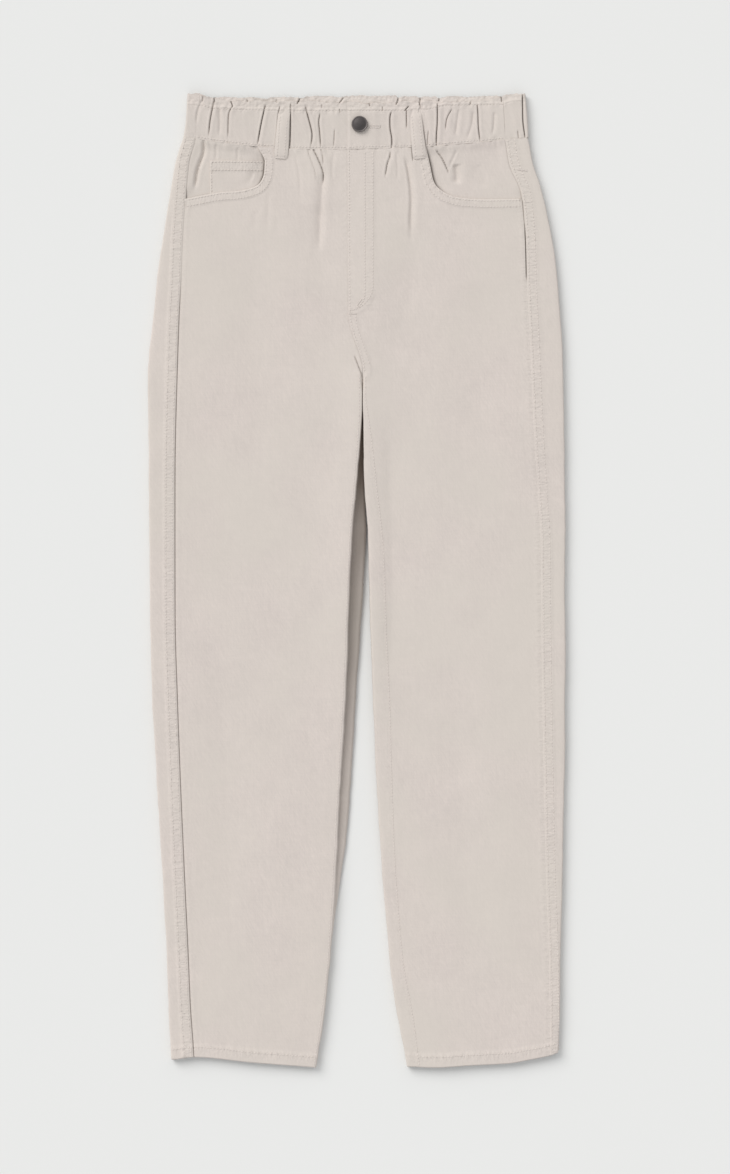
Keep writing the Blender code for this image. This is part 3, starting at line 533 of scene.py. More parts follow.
class Leg:
    """One leg with its half of the body: its outlines, seams and pocket mouth."""

    def __init__(self, name, sections, mouth):
        self.name = name
        self.is_left = sections is LEFT_SECTIONS
        self.inward = -1 if self.is_left else 1
        self.seam_depth, self.seam_dark = (0.0016, 1.15) if self.is_left else (0.0008, 0.45)
        self.curve = {column: Curve(sections, column) for column in Section._fields[1:]}
        self.mouth = curved(mouth, 0.0015)
        self.mouth_foot = float(height_of(np.array(mouth[0][0]), np.array(mouth[0][1])))
        self.side_path = self.path_up("side_seam", 0.0, WAIST_HEIGHT)
        self.outer_path = self.path_up("outer", 0.0, WAIST_HEIGHT)
        self.inner_path = self.path_up("inner", 0.0, CROTCH_HEIGHT)
        self.centre_path = self.path_up("inner", CROTCH_HEIGHT, WAIST_HEIGHT)

    def path_up(self, column, low, high, inset=0.0):
        """A plan path up one of the leg's curves, moved that far inwards."""
        height = np.linspace(low, high, max(6, int((high - low) / 0.012)))
        inward = -self.inward if column == "inner" else self.inward
        x = self.curve[column](height) + inward * inset
        return np.stack([x, laid(x, height)], axis=1)

    def edge(self, column, around, height):
        """(x, y, drop, normal) round a rolled edge: around is 0 at mid-height, above it on the top face
        and below it on the underside, and drop goes from 0 on the top face to 1 on the floor."""
        inward = self.inward if column == "outer" else -self.inward
        rolled = np.ones(np.broadcast(around, height).shape)
        fullness = EDGE_FULLNESS
        if column == "inner":
            rolled = rolled * (1 - smooth((height - JOINED_HEIGHT) / CROTCH_BLEND))
            fullness = 0.18 - 0.06 * smooth((height - 0.56) / 0.12)
        turn = np.clip(around / ROLL_ARC, -1, 1) * math.pi / 2
        flat = 1 - np.minimum(np.abs(around) / ROLL_ARC, 1)
        reach = rolled * np.clip(np.cos(turn), 0, 1) ** fullness + (1 - rolled) * flat
        past = np.maximum(np.abs(around) - ROLL_ARC, 0)
        flare = self.flare(column, height)
        tucked = np.where(around < 0, 1 - smooth(flare / 0.0035), 1.0)
        x = self.curve[column](height) + inward * (EDGE_ROLL * (1 - reach) * tucked + past)
        x = x + self.wander(column, height) * rolled
        x = x - inward * flare * smooth((0.02 - around / ROLL_ARC) / 0.26)
        on_top = around >= 0
        drop = np.where(on_top, rolled * (1 - np.sin(turn)) / 2, 1 - rolled * (1 + np.sin(turn)) / 2)
        side = -inward * np.cos(turn) / EDGE_ROLL
        up = np.sin(turn) / (LAID_HEIGHT / 2)
        length = np.hypot(side, up)
        normal_x = side / length * rolled
        normal_z = up / length * rolled + np.where(on_top, 1.0, -1.0) * (1 - rolled)
        length = np.hypot(normal_x, normal_z)
        normal = np.stack([normal_x / length, np.zeros_like(length), normal_z / length], axis=-1)
        return x, laid(x, height), drop, normal

    def wander(self, column, height):
        """How far an edge strays from its smooth line, as sewn edges do."""
        seed = (21 if column == "outer" else 24) + 5 * self.is_left
        level = 0 * height
        stray = 0.00030 * mottled(height, level, 0.011, seed)
        stray = stray + 0.00045 * mottled(height, level, 0.047, seed + 1)
        return stray * (1 - smooth((height - 0.63) / 0.05)) if column == "inner" else stray

    def flare(self, column, height):
        """How far the back's cloth reaches out below the inner edge, between the legs: a ledge that carries
        painted shade for the shadow in the gap there.
        """
        if column == "outer" or self.is_left:
            return 0 * height
        gap = np.clip(LEFT_INNER(height) - RIGHT_INNER(height) - 0.0002, 0, None)
        reach = 0.0104 + 0.0040 * smooth((height - 0.38) / 0.14)
        return np.minimum(reach, gap) * smooth((height - 0.12) / 0.16)

    def gap(self, height):
        """How far apart the side seam's edges lie: it shows as a line down the right leg alone."""
        if self.is_left:
            return CLOSED_GAP + 0 * height
        return CLOSED_GAP + (SEAM_GAP - CLOSED_GAP) * (1 - smooth((height - 0.775) / 0.05))

    def inseam_x(self, height, away=0.0):
        """The inseam's x as it shows from above, or that far from it towards the side seam."""
        turned = np.maximum(self.curve["inseam_round"](height) - HIDDEN_TURN, 0)
        return self.curve["inner"](height) - self.inward * (turned + away)

    def seam_line(self, y):
        """How strongly the side seam shows as a dark line."""
        if self.is_left:
            return smooth((y - 0.816) / 0.012) * (1 - smooth((y - 0.862) / 0.030))
        return 1 - 0.95 * smooth((y - 0.780) / 0.055)

    def roll_share(self, x, y):
        """How far down the cloth has rolled at a plan point near an edge, from 0 to a half."""
        height = height_of(x, y)
        joined = 0.02 * smooth((height - JOINED_HEIGHT) / CROTCH_BLEND)
        outer = (x - self.curve["outer"](height) - self.wander("outer", height)) * self.inward
        inner = (self.curve["inner"](height) + self.wander("inner", height) - x) * self.inward + joined
        into = np.clip(1 - np.minimum(outer, inner) / EDGE_ROLL, 0, 1)
        return (1 - np.sqrt(1 - np.minimum(into ** (2 / EDGE_FULLNESS), 1))) / 2


RIGHT = Leg("right", RIGHT_SECTIONS, RIGHT_MOUTH)
LEFT = Leg("left", LEFT_SECTIONS, LEFT_MOUTH)
LEGS = (RIGHT, LEFT)


# The cloth's relief


def pressed(folds, x, y, strength):
    """(rise, marks) that these folds give at plan points. A sharp fold has a thin line of painted shade in its
    valley.
    """
    rise = np.zeros(np.shape(x))
    marks = no_marks(x)
    for fold in folds:
        path = curved(np.array(fold.path) * MM, 0.003)
        reach = 4 * max(fold.near_side, fold.far_side) * MM
        low, high = path.min(axis=0) - reach, path.max(axis=0) + reach
        inside = (x > low[0]) & (x < high[0]) & (y > low[1]) & (y < high[1])
        if not inside.any():
            continue
        far, side, along = off_path(path, x[inside], y[inside])
        length = np.linalg.norm(np.diff(path, axis=0), axis=1).sum()
        ends = smooth(along / (0.12 * length) + 0.25) * smooth((length - along) / (0.30 * length) + 0.1)
        width = np.where(side > 0, fold.far_side, fold.near_side) * MM
        sharp = 1.0 if fold.near_side < 1.0 else 0.0
        line = np.exp(-((far / 0.00038) ** 2)) * sharp
        slope = np.exp(-((far / width) ** 1.5))
        lip = bump(far - 2.2 * width, 1.3 * width) * ends
        valley = (0.80 * line + (1 - 0.80 * sharp) * slope) * ends
        rise[inside] += (fold.lip * lip - fold.depth * valley) * MM * strength
        # Painted shade along a sharp fold's valley, kept in the first mark
        dark = 0.80 * np.exp(-((far / 0.00046) ** 2)) * sharp * ends * min(1.0, fold.depth / 3.0)
        marks[inside, 0] = np.maximum(marks[inside, 0], dark)
    return rise, marks


def no_marks(x):
    return np.zeros((*np.shape(x), 3))


def mark(marks, channel, value):
    """Adds to one of the marks: 0 darkens the colour, as painted shade in creases, gaping pocket mouths and
    between the legs, and as dark seam lines; 1 and 2 are ripples across an upright or a level seam.
    """
    marks[..., channel] = np.maximum(marks[..., channel], value)


def hills(x, y):
    """The soft unevenness that all laid cloth has, longer along the legs than across them."""
    long_hills = mottled(x, y * 0.45, 0.046, 11) + 0.45 * mottled(x, y * 0.6, 0.021, 12)
    return sizes().hills * (long_hills + 0.16 * mottled(x, y, 0.008, 13) + 0.08 * mottled(x, y, 0.0035, 14))


def rippled(along, seed, step=0.0076):
    """An uneven ripple along a seam, from -1 to 1, that comes and goes."""
    phase = 2 * math.pi * along / step + 3.5 * mottled(along, 0 * along, 0.021, seed)
    swell = 0.55 + 0.65 * mottled(along, 0 * along, 0.034, seed + 1)
    return np.sin(phase) * np.clip(swell, 0.05, 1.2)


def puckered(far, along, at, reach, seed):
    """A stitch row's groove with the ripples that it pulls up on both sides."""
    groove = -0.25 * bump(far - at, 0.0008)
    slanted = rippled(along + 0.6 * (far - at), seed)
    return sizes().pucker * (groove + slanted * bump(far - at, reach))


def seam_dip(far, depth=0.0007, reach=0.0006):
    """Cloth turning down into a seam."""
    return -depth * bump(far, reach)


def seam_gathers(x, y, seed):
    """Small upright gathers that the waist seam holds on both sides."""
    off = y - band_y(x, 0.0)
    held = bump(off, 0.0048) * (0.35 + 0.65 * smooth((np.abs(x - 0.004) - 0.022) / 0.012))
    fine = mottled(x + 0.25 * off, 0.12 * off, 0.0029, seed) + 0.5 * mottled(x, 0.2 * off, 0.0058, seed + 1)
    return 0.00052 * fine * held


def waist_line(x, y):
    """(rise, darkness) of the waist seam: a faint line that comes and goes along the gathers."""
    off = y - band_y(x, 0.0)
    shown = np.clip(0.20 + 0.9 * mottled(x, 0 * x, 0.0052, 58), 0, 1)
    return -0.00012 * shown * bump(off, 0.0006), 0.05 * shown * bump(off, 0.0005)


def mouth_shade(leg, x, y):
    """1 where the pocket mouth gapes, for how far the facing sinks and for the painted shade inside the mouth,
    falling to 0 along its level part.
    """
    gaping_x, reach = (0.0715, 0.021) if leg.is_left else (-0.1020, 0.0135)
    return np.exp(-((np.hypot(x - gaping_x, (y - 0.9330) * 0.8) / reach) ** 4))


def arch(x, y):
    """The cloth stands higher along the inner edges below the crotch."""
    height = height_of(x, y)
    off = np.where(x < 0, RIGHT_INNER(height) - x, x - LEFT_INNER(height))
    return 0.0032 * bump(off, 0.024) * smooth((height - 0.24) / 0.22) * (1 - smooth((height - 0.68) / 0.09))


def face(x, y):
    """(height, marks) of the garment's top face before any seam."""
    rise, marks = pressed(FRONT_FOLDS, x, y, sizes().fold)
    return LAID_HEIGHT + rise + hills(x, y) + arch(x, y), marks


def hemmed(x, y, seed, marks):
    """The turned-up hem: a raised band that rolls over at its foot, roped by its stitching."""
    height = height_of(x, y)
    raised = 0.0006 * (1 - smooth((height - HEM_DEPTH - 0.0004) / 0.0012))
    turned_under = -0.0016 * (1 - smooth(height / 0.0014)) ** 2
    stitched = puckered(height, x, HEM_ROW, 0.0040, seed)
    mark(marks, 2, 0.9 * bump(height - HEM_DEPTH + 0.003, 0.0062))
    return np.where(height < 0.03, raised + turned_under + 1.3 * stitched, 0.0)


def front_top(leg, x, y):
    """(height, marks) of a front panel's top face."""
    z, marks = face(x, y)
    far, _, along = off_path(leg.side_path, x, y)
    below = 1 - smooth((y - leg.mouth[0][1] + 0.004) / 0.004)
    line = leg.seam_line(y)
    beside_seam = 0.00022 * bump(far - 0.0035, 0.0014)
    z += (seam_dip(far, leg.seam_depth * line, 0.00045) + beside_seam) * below
    z += 0.5 * puckered(far, along, 0.0030, 0.003, 31) * below
    mark(marks, 0, leg.seam_dark * line * bump(far, 0.00045) * below)
    mark(marks, 1, (0.8 if leg.is_left else 0.4) * bump(far, 0.0060) * below)
    far, _, along = off_path(leg.mouth, x, y)
    z += 0.00045 * (1 - smooth((far - 0.0088) / 0.0012)) - 0.0005 * bump(far, 0.0006)
    z += puckered(far, along, MOUTH_ROWS[0], 0.0018, 33) + puckered(far, along, MOUTH_ROWS[1], 0.0026, 34)
    mark(marks, 2, 0.7 * bump(far - 0.0045, 0.0050) * smooth((0.935 - y) / 0.02))
    mark(marks, 1, 0.5 * bump(far - 0.0045, 0.0050) * smooth((y - 0.915) / 0.02))
    far, _, along = off_path(leg.centre_path, x, y)
    lapped = smooth((y - FLY_FOOT) / 0.004)
    if leg.is_left:
        drop = np.clip((FLY_FOOT + FLY_WIDTH - y) / FLY_WIDTH, 0, 1)
        reach = FLY_WIDTH * np.sqrt(1 - drop**2)
        z += 0.00040 * lapped * (1 - smooth((far - reach) / 0.0022)) * (0.2 + 0.8 * smooth(far / 0.004))
        joined = 0.0004 * (1 - smooth((far - 0.0085) / 0.0015)) + seam_dip(far, 0.0001)
        z += joined * (1 - lapped) + 0.7 * puckered(far, along, LAP_ROW, 0.0025, 35)
        z += 0.6 * puckered(far, along, FLY_ROWS[1], 0.0025, 40) * lapped
        mark(marks, 1, 0.55 * bump(far - LAP_ROW, 0.0030) + 0.5 * bump(far - 0.0225, 0.0050) * lapped)
        mark(marks, 0, 0.05 * bump(far, 0.0006))
    else:
        z += seam_dip(far, 0.0001) + 0.4 * puckered(far, along, 0.003, 0.003, 36)
    height = height_of(x, y)
    far = np.where(height < CROTCH_HEIGHT, np.abs(x - leg.inseam_x(height)), 1.0)
    z += 0.5 * puckered(far, y, INSEAM_ROW, 0.0030, 37)
    mark(marks, 1, 0.35 * bump(far, 0.0040))
    dip, dark = waist_line(x, y)
    z += dip + seam_gathers(x, y, 38)
    mark(marks, 1, 0.5 * bump(y - band_y(x, 0.0), 0.0050))
    mark(marks, 0, dark)
    return z + hemmed(x, y, 39, marks), marks


def strip_top(leg, x, y):
    """(height, marks) of the back panel where it shows beside the side seam, over its allowance."""
    z, marks = face(x, y)
    far, _, along = off_path(leg.side_path, x, y)
    line = leg.seam_line(y)
    raised = 0.0003 if leg.is_left else 0.0006
    allowance = raised * (1 - smooth((far - 0.0112) / 0.0022)) * smooth(far / 0.0015)
    ribbed = sizes().pucker * 1.2 * rippled(along + 0.5 * far, 42, 0.0082) * bump(far - 0.0062, 0.0048)
    z += allowance + seam_dip(far, leg.seam_depth * line, 0.00045) + ribbed
    z += puckered(far, along, SIDE_ROWS[0], 0.0020, 43) + puckered(far, along, SIDE_ROWS[1], 0.0022, 44)
    mark(marks, 1, bump(far - 0.0062, 0.0062))
    mark(marks, 0, leg.seam_dark * line * bump(far, 0.00045))
    dip, dark = waist_line(x, y)
    mark(marks, 0, 0.5 * dark)
    return z + hemmed(x, y, 45, marks) + dip, marks


def facing_top(leg, x, y):
    """(height, marks) of a pocket facing: sunk under the mouth, and level with its seams."""
    rise, marks = pressed(FACING_FOLDS, x, y, sizes().fold)
    far, side, _ = off_path(leg.mouth, x, y)
    shown = far * side * leg.inward
    height = height_of(x, y)
    off_side = np.abs(x - leg.curve["side_seam"](height))
    off_waist = np.abs(WAIST_HEIGHT - height)
    rising = smooth((shown - 0.0015) / 0.012)
    side_level = rising * (1 - smooth(off_side / 0.012))
    waist_level = (0.35 + 0.65 * rising) * (1 - smooth(off_waist / 0.010))
    gaping = mouth_shade(leg, x, y)
    sunk = (0.0013 if leg.is_left else 0.0017) + 0.0020 * gaping * (1 - 0.5 * rising)
    z = LAID_HEIGHT + hills(x, y) + rise * rising - sunk * (1 - side_level) * (1 - waist_level)
    dip, dark = waist_line(x, y)
    z += seam_dip(off_side, 0.0003) + dip + seam_gathers(x, y, 46)
    # Painted shade along the mouth's edge, wider and darker where it gapes
    mark(marks, 0, bump(far, 0.0008 + 0.0010 * gaping) * (0.08 + 1.12 * gaping))
    mark(marks, 0, 0.28 * bump(off_side, 0.0006))
    mark(marks, 0, dark)
    mark(marks, 1, 0.5 * bump(off_waist, 0.0050))
    return z, marks


def stitch_share(x):
    """The frill's stitch line as a share of the band's height: it runs higher towards the left side."""
    return 0.735 + 0.085 * smooth((x - 0.060) / 0.030)


def band_top(x, y):
    """(height, marks) of the gathered waistband's top face, with its frill."""
    rise, marks = pressed(BAND_CREASES + FRILL_NOTCHES, x, y, sizes().gather)
    low = WAIST_HEIGHT + waist_rise(x)
    stitch_y = band_y(x, stitch_share(x))
    frilled = smooth((y - stitch_y - 0.0004) / 0.0030)
    off_centre = smooth((np.abs(x - 0.004) - 0.020) / 0.014)
    shirred = 0.00036 * mottled(x + 0.12 * (y - low), 0.10 * y, 0.0052, 51) * (0.25 + 0.75 * off_centre)
    z = LAID_HEIGHT + rise + hills(x, y) + shirred + seam_gathers(x, y, 57)
    z += -0.00042 * bump(y - stitch_y, 0.0008)
    pulled = mottled(x, 0.4 * y, 0.0026, 52) * bump(y - stitch_y, 0.0036)
    z += 0.00066 * pulled * (0.3 + 0.7 * off_centre)
    ruffle = mottled(x, 0.35 * y, 0.0062, 53) + 0.45 * mottled(x, 0.8 * y, 0.0024, 54)
    z += (0.00078 * ruffle - 0.0006) * frilled
    off_seam = np.abs(y - low)
    dip, dark = waist_line(x, y)
    z += dip + 0.6 * puckered(off_seam, x, WAIST_ROW, 0.0030, 55)
    mark(marks, 0, dark)
    mark(marks, 0, 0.10 * bump(y - stitch_y, 0.0005))
    mark(marks, 1, 0.55 * bump(off_seam, 0.0050) + 0.45 * bump(y - stitch_y, 0.0045))
    mark(marks, 1, 0.55 * frilled)
    return z, marks


# Meshes


def cloth_to_frame(points):
    """Plan points moved into the frame."""
    return points + np.array([SHIFT_X, SHIFT_Y, 0.0])


def keep_marks(mesh, marks):
    layer = mesh.attributes.new("marks", "FLOAT_VECTOR", "POINT")
    layer.data.foreach_set("vector", np.asarray(marks, dtype=np.float32).ravel())


def add_piece(name, verts, faces, finish, marks=None):
    """A mesh piece in the frame that rides on the root."""
    mesh = bpy.data.meshes.new(name)
    mesh.from_pydata(cloth_to_frame(verts).tolist(), [], faces)
    if marks is not None:
        keep_marks(mesh, marks)
    mesh.materials.append(finish)
    mesh.shade_smooth()
    mesh.set_sharp_from_angle(angle=math.radians(50))
    piece = bpy.data.objects.new(name, mesh)
    bpy.context.scene.collection.objects.link(piece)
    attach(piece, "root")
    return piece


def grid_faces(index, flipped):
    """Quads over a grid of vertex numbers."""
    corners = [index[:-1, :-1], index[:-1, 1:], index[1:, 1:], index[1:, :-1]]
    if flipped:
        corners.reverse()
    return np.stack(corners, axis=-1).reshape(-1, 4)


def shell(name, outer, normal, thick, finish, marks):
    """A closed shell from a grid of outer points, its far side moved in by the thickness."""
    rows, across = outer.shape[:2]
    inner = outer - normal * np.broadcast_to(thick, (rows, across))[..., None]
    middle = (rows // 2, across // 2)
    run = outer[middle[0] + 1, middle[1]] - outer[middle]
    over = outer[middle[0], middle[1] + 1] - outer[middle]
    flipped = float(np.dot(np.cross(over, run), normal[middle])) < 0
    index = np.arange(rows * across).reshape(rows, across)
    far_index = index + rows * across
    faces = [grid_faces(index, flipped), grid_faces(far_index, not flipped)]
    rim = np.concatenate([index[0, :-1], index[:-1, -1], index[-1, :0:-1], index[:0:-1, 0]])
    after = np.roll(rim, -1)
    side = [after, rim, rim + rows * across, after + rows * across]
    if flipped:
        side.reverse()
    faces.append(np.stack(side, axis=-1))
    verts = np.concatenate([outer.reshape(-1, 3), inner.reshape(-1, 3)])
    both = np.concatenate([marks.reshape(-1, 3), marks.reshape(-1, 3)])
    return add_piece(name, verts, np.concatenate(faces).tolist(), finish, both)


def skin_area(outer):
    """The area of a grid of points, in square metres."""
    first = np.cross(outer[:-1, 1:] - outer[:-1, :-1], outer[1:, :-1] - outer[:-1, :-1])
    second = np.cross(outer[1:, 1:] - outer[:-1, 1:], outer[1:, 1:] - outer[1:, :-1])
    return float(np.linalg.norm(first, axis=-1).sum() + np.linalg.norm(second, axis=-1).sum()) / 2


UP = np.array([0.0, 0.0, 1.0])


def upright(shape):
    """Normals that point straight up, for a grid."""
    return np.broadcast_to(UP, (*shape, 3)).copy()


def stacked(x, y, z):
    return np.stack([x, y, z], axis=-1)


def leg_rows():
    """Row heights from the hem to the crotch, close together over the hem."""
    hem = [0.0, 0.0005, 0.0011, 0.002, 0.0035, 0.005, 0.0065, 0.008, 0.0095]
    hem += [0.0108, 0.0120, 0.0132, 0.0146, 0.017]
    return np.concatenate([hem, np.arange(0.020, CROTCH_HEIGHT, 0.0034)])


def front_grid(leg):
    """(points, normals, marks) of a front panel, from its side seam and pocket mouth to its inner seams."""
    last = float(laid(np.array(leg.mouth[-1][0]), WAIST_HEIGHT - CLOSED_GAP / 2))
    curve = leg.mouth.copy()
    curve[-1, 1] = last
    side_heights = np.arange(CROTCH_HEIGHT, leg.mouth_foot, 0.0030)
    low = np.concatenate([leg_rows(), side_heights])
    low_x = leg.curve["side_seam"](low) + leg.inward * leg.gap(low) / 2
    mouth = resampled(curve, 0.0016)
    outer_x = np.concatenate([low_x, mouth[:, 0]])
    outer_height = np.concatenate([low, height_of(mouth[:, 0], mouth[:, 1])])
    upper = len(outer_x) - len(leg_rows())
    top = WAIST_HEIGHT - CLOSED_GAP / 2
    inner_height = np.concatenate([leg_rows(), np.linspace(CROTCH_HEIGHT, top, upper)])
    inseam = np.maximum(leg.curve["inseam_round"](inner_height), 0) + CLOSED_GAP / 2
    start = np.maximum(ROLL_ARC, inseam) + 0.004
    start_x, start_y = leg.edge("inner", start, inner_height)[:2]
    start_height = height_of(start_x, start_y)
    near = np.array([0.0, 0.12, 0.26, 0.45, 0.7, 1.0, 1.5, 2.2, 3.1])
    shares = np.concatenate([near / 96, np.linspace(4.2, 96, 88) / 96])
    flat_x = outer_x[:, None] + (start_x - outer_x)[:, None] * shares
    flat_height = outer_height[:, None] + (start_height - outer_height)[:, None] * shares
    around = start[:, None] + (inseam - start)[:, None] * np.linspace(0, 1, 15)[1:]
    round_x, round_y, drop, round_normal = leg.edge("inner", around, inner_height[:, None])
    x = np.concatenate([flat_x, round_x], axis=1)
    y = np.concatenate([laid(flat_x, flat_height), round_y], axis=1)
    z, marks = front_top(leg, x, y)
    z[:, len(shares) :] *= 1 - drop
    normal = np.concatenate([upright(flat_x.shape), round_normal], axis=1)
    return stacked(x, y, z), normal, marks


def back_grid(leg):
    """(points, normals, marks) of a back panel, from the side seam round the outer edge, along the
    floor and up to the inseam."""
    top = WAIST_HEIGHT - CLOSED_GAP / 2
    seam_rows = np.concatenate([np.arange(CROTCH_HEIGHT, top - 0.002, 0.0030), [top]])
    height = np.concatenate([leg_rows(), seam_rows])[:, None]
    seam = leg.curve["side_seam"](height) - leg.inward * leg.gap(height) / 2
    strip = np.abs(seam - leg.curve["outer"](height)) - EDGE_ROLL
    shares = np.concatenate([[0, 0.2, 0.45, 0.75], np.arange(1, 21)]) / 20
    turned = np.broadcast_to(np.linspace(1, -1, 21)[1:] * ROLL_ARC, (len(height), 20))
    around = np.concatenate([ROLL_ARC + strip * (1 - shares), turned], axis=1)
    x, y, drop, normal = leg.edge("outer", around, height)
    x[:, : len(shares)] -= leg.wander("outer", height) * (1 - shares)
    z, marks = strip_top(leg, x, y)
    floor_start = leg.edge("outer", -ROLL_ARC - 0.001, height)[0]
    floor_end = leg.edge("inner", -ROLL_ARC - 0.001, height)[0]
    floor_x = floor_start + (floor_end - floor_start) * np.linspace(0, 1, 10)
    inseam = np.maximum(leg.curve["inseam_round"](height), 0) - CLOSED_GAP / 2
    inner_around = -ROLL_ARC + (inseam + ROLL_ARC) * np.linspace(0, 1, 24)
    inner_x, inner_y, inner_drop, inner_normal = leg.edge("inner", inner_around, height)
    inner_z, inner_marks = front_top(leg, inner_x, inner_y)
    # Painted shade between the legs: darkens the inner roll and the back's ledge, strongest near the crotch and
    # a little lighter out on the ledge
    gap_shade = 0.46 + 0.32 * smooth((height - 0.28) / 0.18) + 0.10 * smooth((height - 0.45) / 0.10)
    gap_shade = gap_shade + 0.36 * smooth((height - 0.56) / 0.07)
    shade_between_legs = gap_shade * smooth((inner_drop - 0.25) / 0.35) * smooth((height - 0.13) / 0.15)
    outwards = smooth((0.02 - inner_around / ROLL_ARC) / 0.26) * smooth((0.60 - height) / 0.10)
    shade_between_legs = shade_between_legs * (1 - 0.26 * smooth((outwards - 0.35) / 0.65))
    mark(inner_marks, 0, shade_between_legs * (1 - smooth((height - CROTCH_HEIGHT) / 0.01)))
    full_x = np.concatenate([x, floor_x, inner_x], axis=1)
    full_y = np.concatenate([y, laid(floor_x, height), inner_y], axis=1)
    full_z = np.concatenate([z * (1 - drop), 0 * floor_x, inner_z * (1 - inner_drop)], axis=1)
    full_normal = np.concatenate([normal, -upright(floor_x.shape), inner_normal], axis=1)
    full_marks = np.concatenate([marks, no_marks(floor_x), inner_marks], axis=1)
    return stacked(full_x, full_y, full_z), full_normal, full_marks


def facing_grid(leg):
    """(points, normals, marks) of a pocket facing, tucked under the front beside and below its mouth."""
    heights = np.linspace(leg.mouth_foot - 0.008, WAIST_HEIGHT - CLOSED_GAP / 2, 60)[:, None]
    seam = leg.curve["side_seam"](heights) + leg.inward * leg.gap(heights) / 2
    end = leg.mouth[-1][0] + leg.inward * 0.008
    end = max(end, COIN_RIGHT_X + 0.003) if not leg.is_left else min(end, 0.0640)
    x = seam + (end - seam) * np.linspace(0, 1, 90)
    y = laid(x, heights)
    z, marks = facing_top(leg, x, y)
    return stacked(x, y, z), upright(x.shape), marks


def coin_grid():
    """(points, normals, marks) of the coin pocket, its points moved out from the right facing's."""
    x = np.broadcast_to(np.linspace(COIN_LEFT_X, COIN_RIGHT_X, 64), (44, 64))
    top = COIN_TOP_Y - 0.0006 * smooth((x + 0.13) / 0.02)
    y = COIN_FOOT_Y + (top - COIN_FOOT_Y) * np.linspace(0, 1, 44)[:, None]
    z, marks = facing_top(RIGHT, x, y)
    from_top = COIN_TOP_Y - y
    from_left = x - COIN_LEFT_X
    z += 0.0011 - 0.0006 * bump(from_left, 0.0008) - 0.0006 * bump(from_top, 0.0008)
    z += 0.0003 * (1 - smooth((from_top - 0.0105) / 0.0012))
    z += puckered(from_top, x, COIN_ROWS[0], 0.0018, 61) + puckered(from_top, x, COIN_ROWS[1], 0.0025, 62)
    z += puckered(from_left, y, COIN_SIDE_ROW, 0.0022, 63)
    mark(marks, 2, 0.7 * bump(from_top - 0.006, 0.006))
    mark(marks, 1, 0.5 * bump(from_left - 0.002, 0.004))
    return stacked(x, y, z), upright(x.shape), marks


def frilled_y(x, share, edge, seed):
    """The band's y: even up to the stitch line, and from there up to its own uneven edge."""
    line = stitch_share(x)
    up = np.clip((share - line) / (1 - line), 0, 1)
    uneven = 0.00045 * mottled(x, 0 * x, 0.0034, 71 + seed) + 0.00030 * mottled(x, 0 * x, 0.0014, 72 + seed)
    stitch_y = band_y(x, line)
    return np.where(share <= line, band_y(x, share), stitch_y + up * (edge(x) + uneven - stitch_y))


FRONT_FRILL = Curve(FRONT_EDGE, "y")
BACK_FRILL = Curve(BACK_EDGE, "y")


# Columns across the band, close together for the sake of its narrow creases
FRONT_BAND_COLUMNS = 440
FLOOR_BAND_COLUMNS = 400


def band_rows():
    return np.concatenate([np.linspace(0, 0.70, 34), np.linspace(0.715, 1.0, 20)])


def lap_rise(x):
    """How far the left half of the band stands up where it laps over the right half."""
    lap = x - LAP_X
    return (0.0002 + 0.0006 * smooth(lap / 0.0035)) * (1 - smooth((lap - UNDERLAP) / 0.008))


def band_front_grid(leg):
    """(points, normals, marks) of one half of the front waistband. The left laps over the right."""
    share = band_rows()[:, None]
    if leg.is_left:
        start = np.full(share.shape, LAP_X)
        end = BAND["left_seam"](share) - CLOSED_GAP / 2
    else:
        start = BAND["right_seam"](share) + CLOSED_GAP / 2
        end = np.full(share.shape, LAP_X + UNDERLAP)
    x = start + (end - start) * np.linspace(0, 1, FRONT_BAND_COLUMNS)
    y = frilled_y(x, share, FRONT_FRILL, 0) + np.where(share == 0, CLOSED_GAP / 2, 0)
    z, marks = band_top(x, y)
    if leg.is_left:
        z += lap_rise(x) + 0.6 * puckered(x - LAP_X, y, LAP_ROW, 0.0022, 64)
    else:
        z -= 0.0009 * smooth((x - LAP_X + 0.0005) / 0.0035)
    return stacked(x, y, z), upright(x.shape), marks


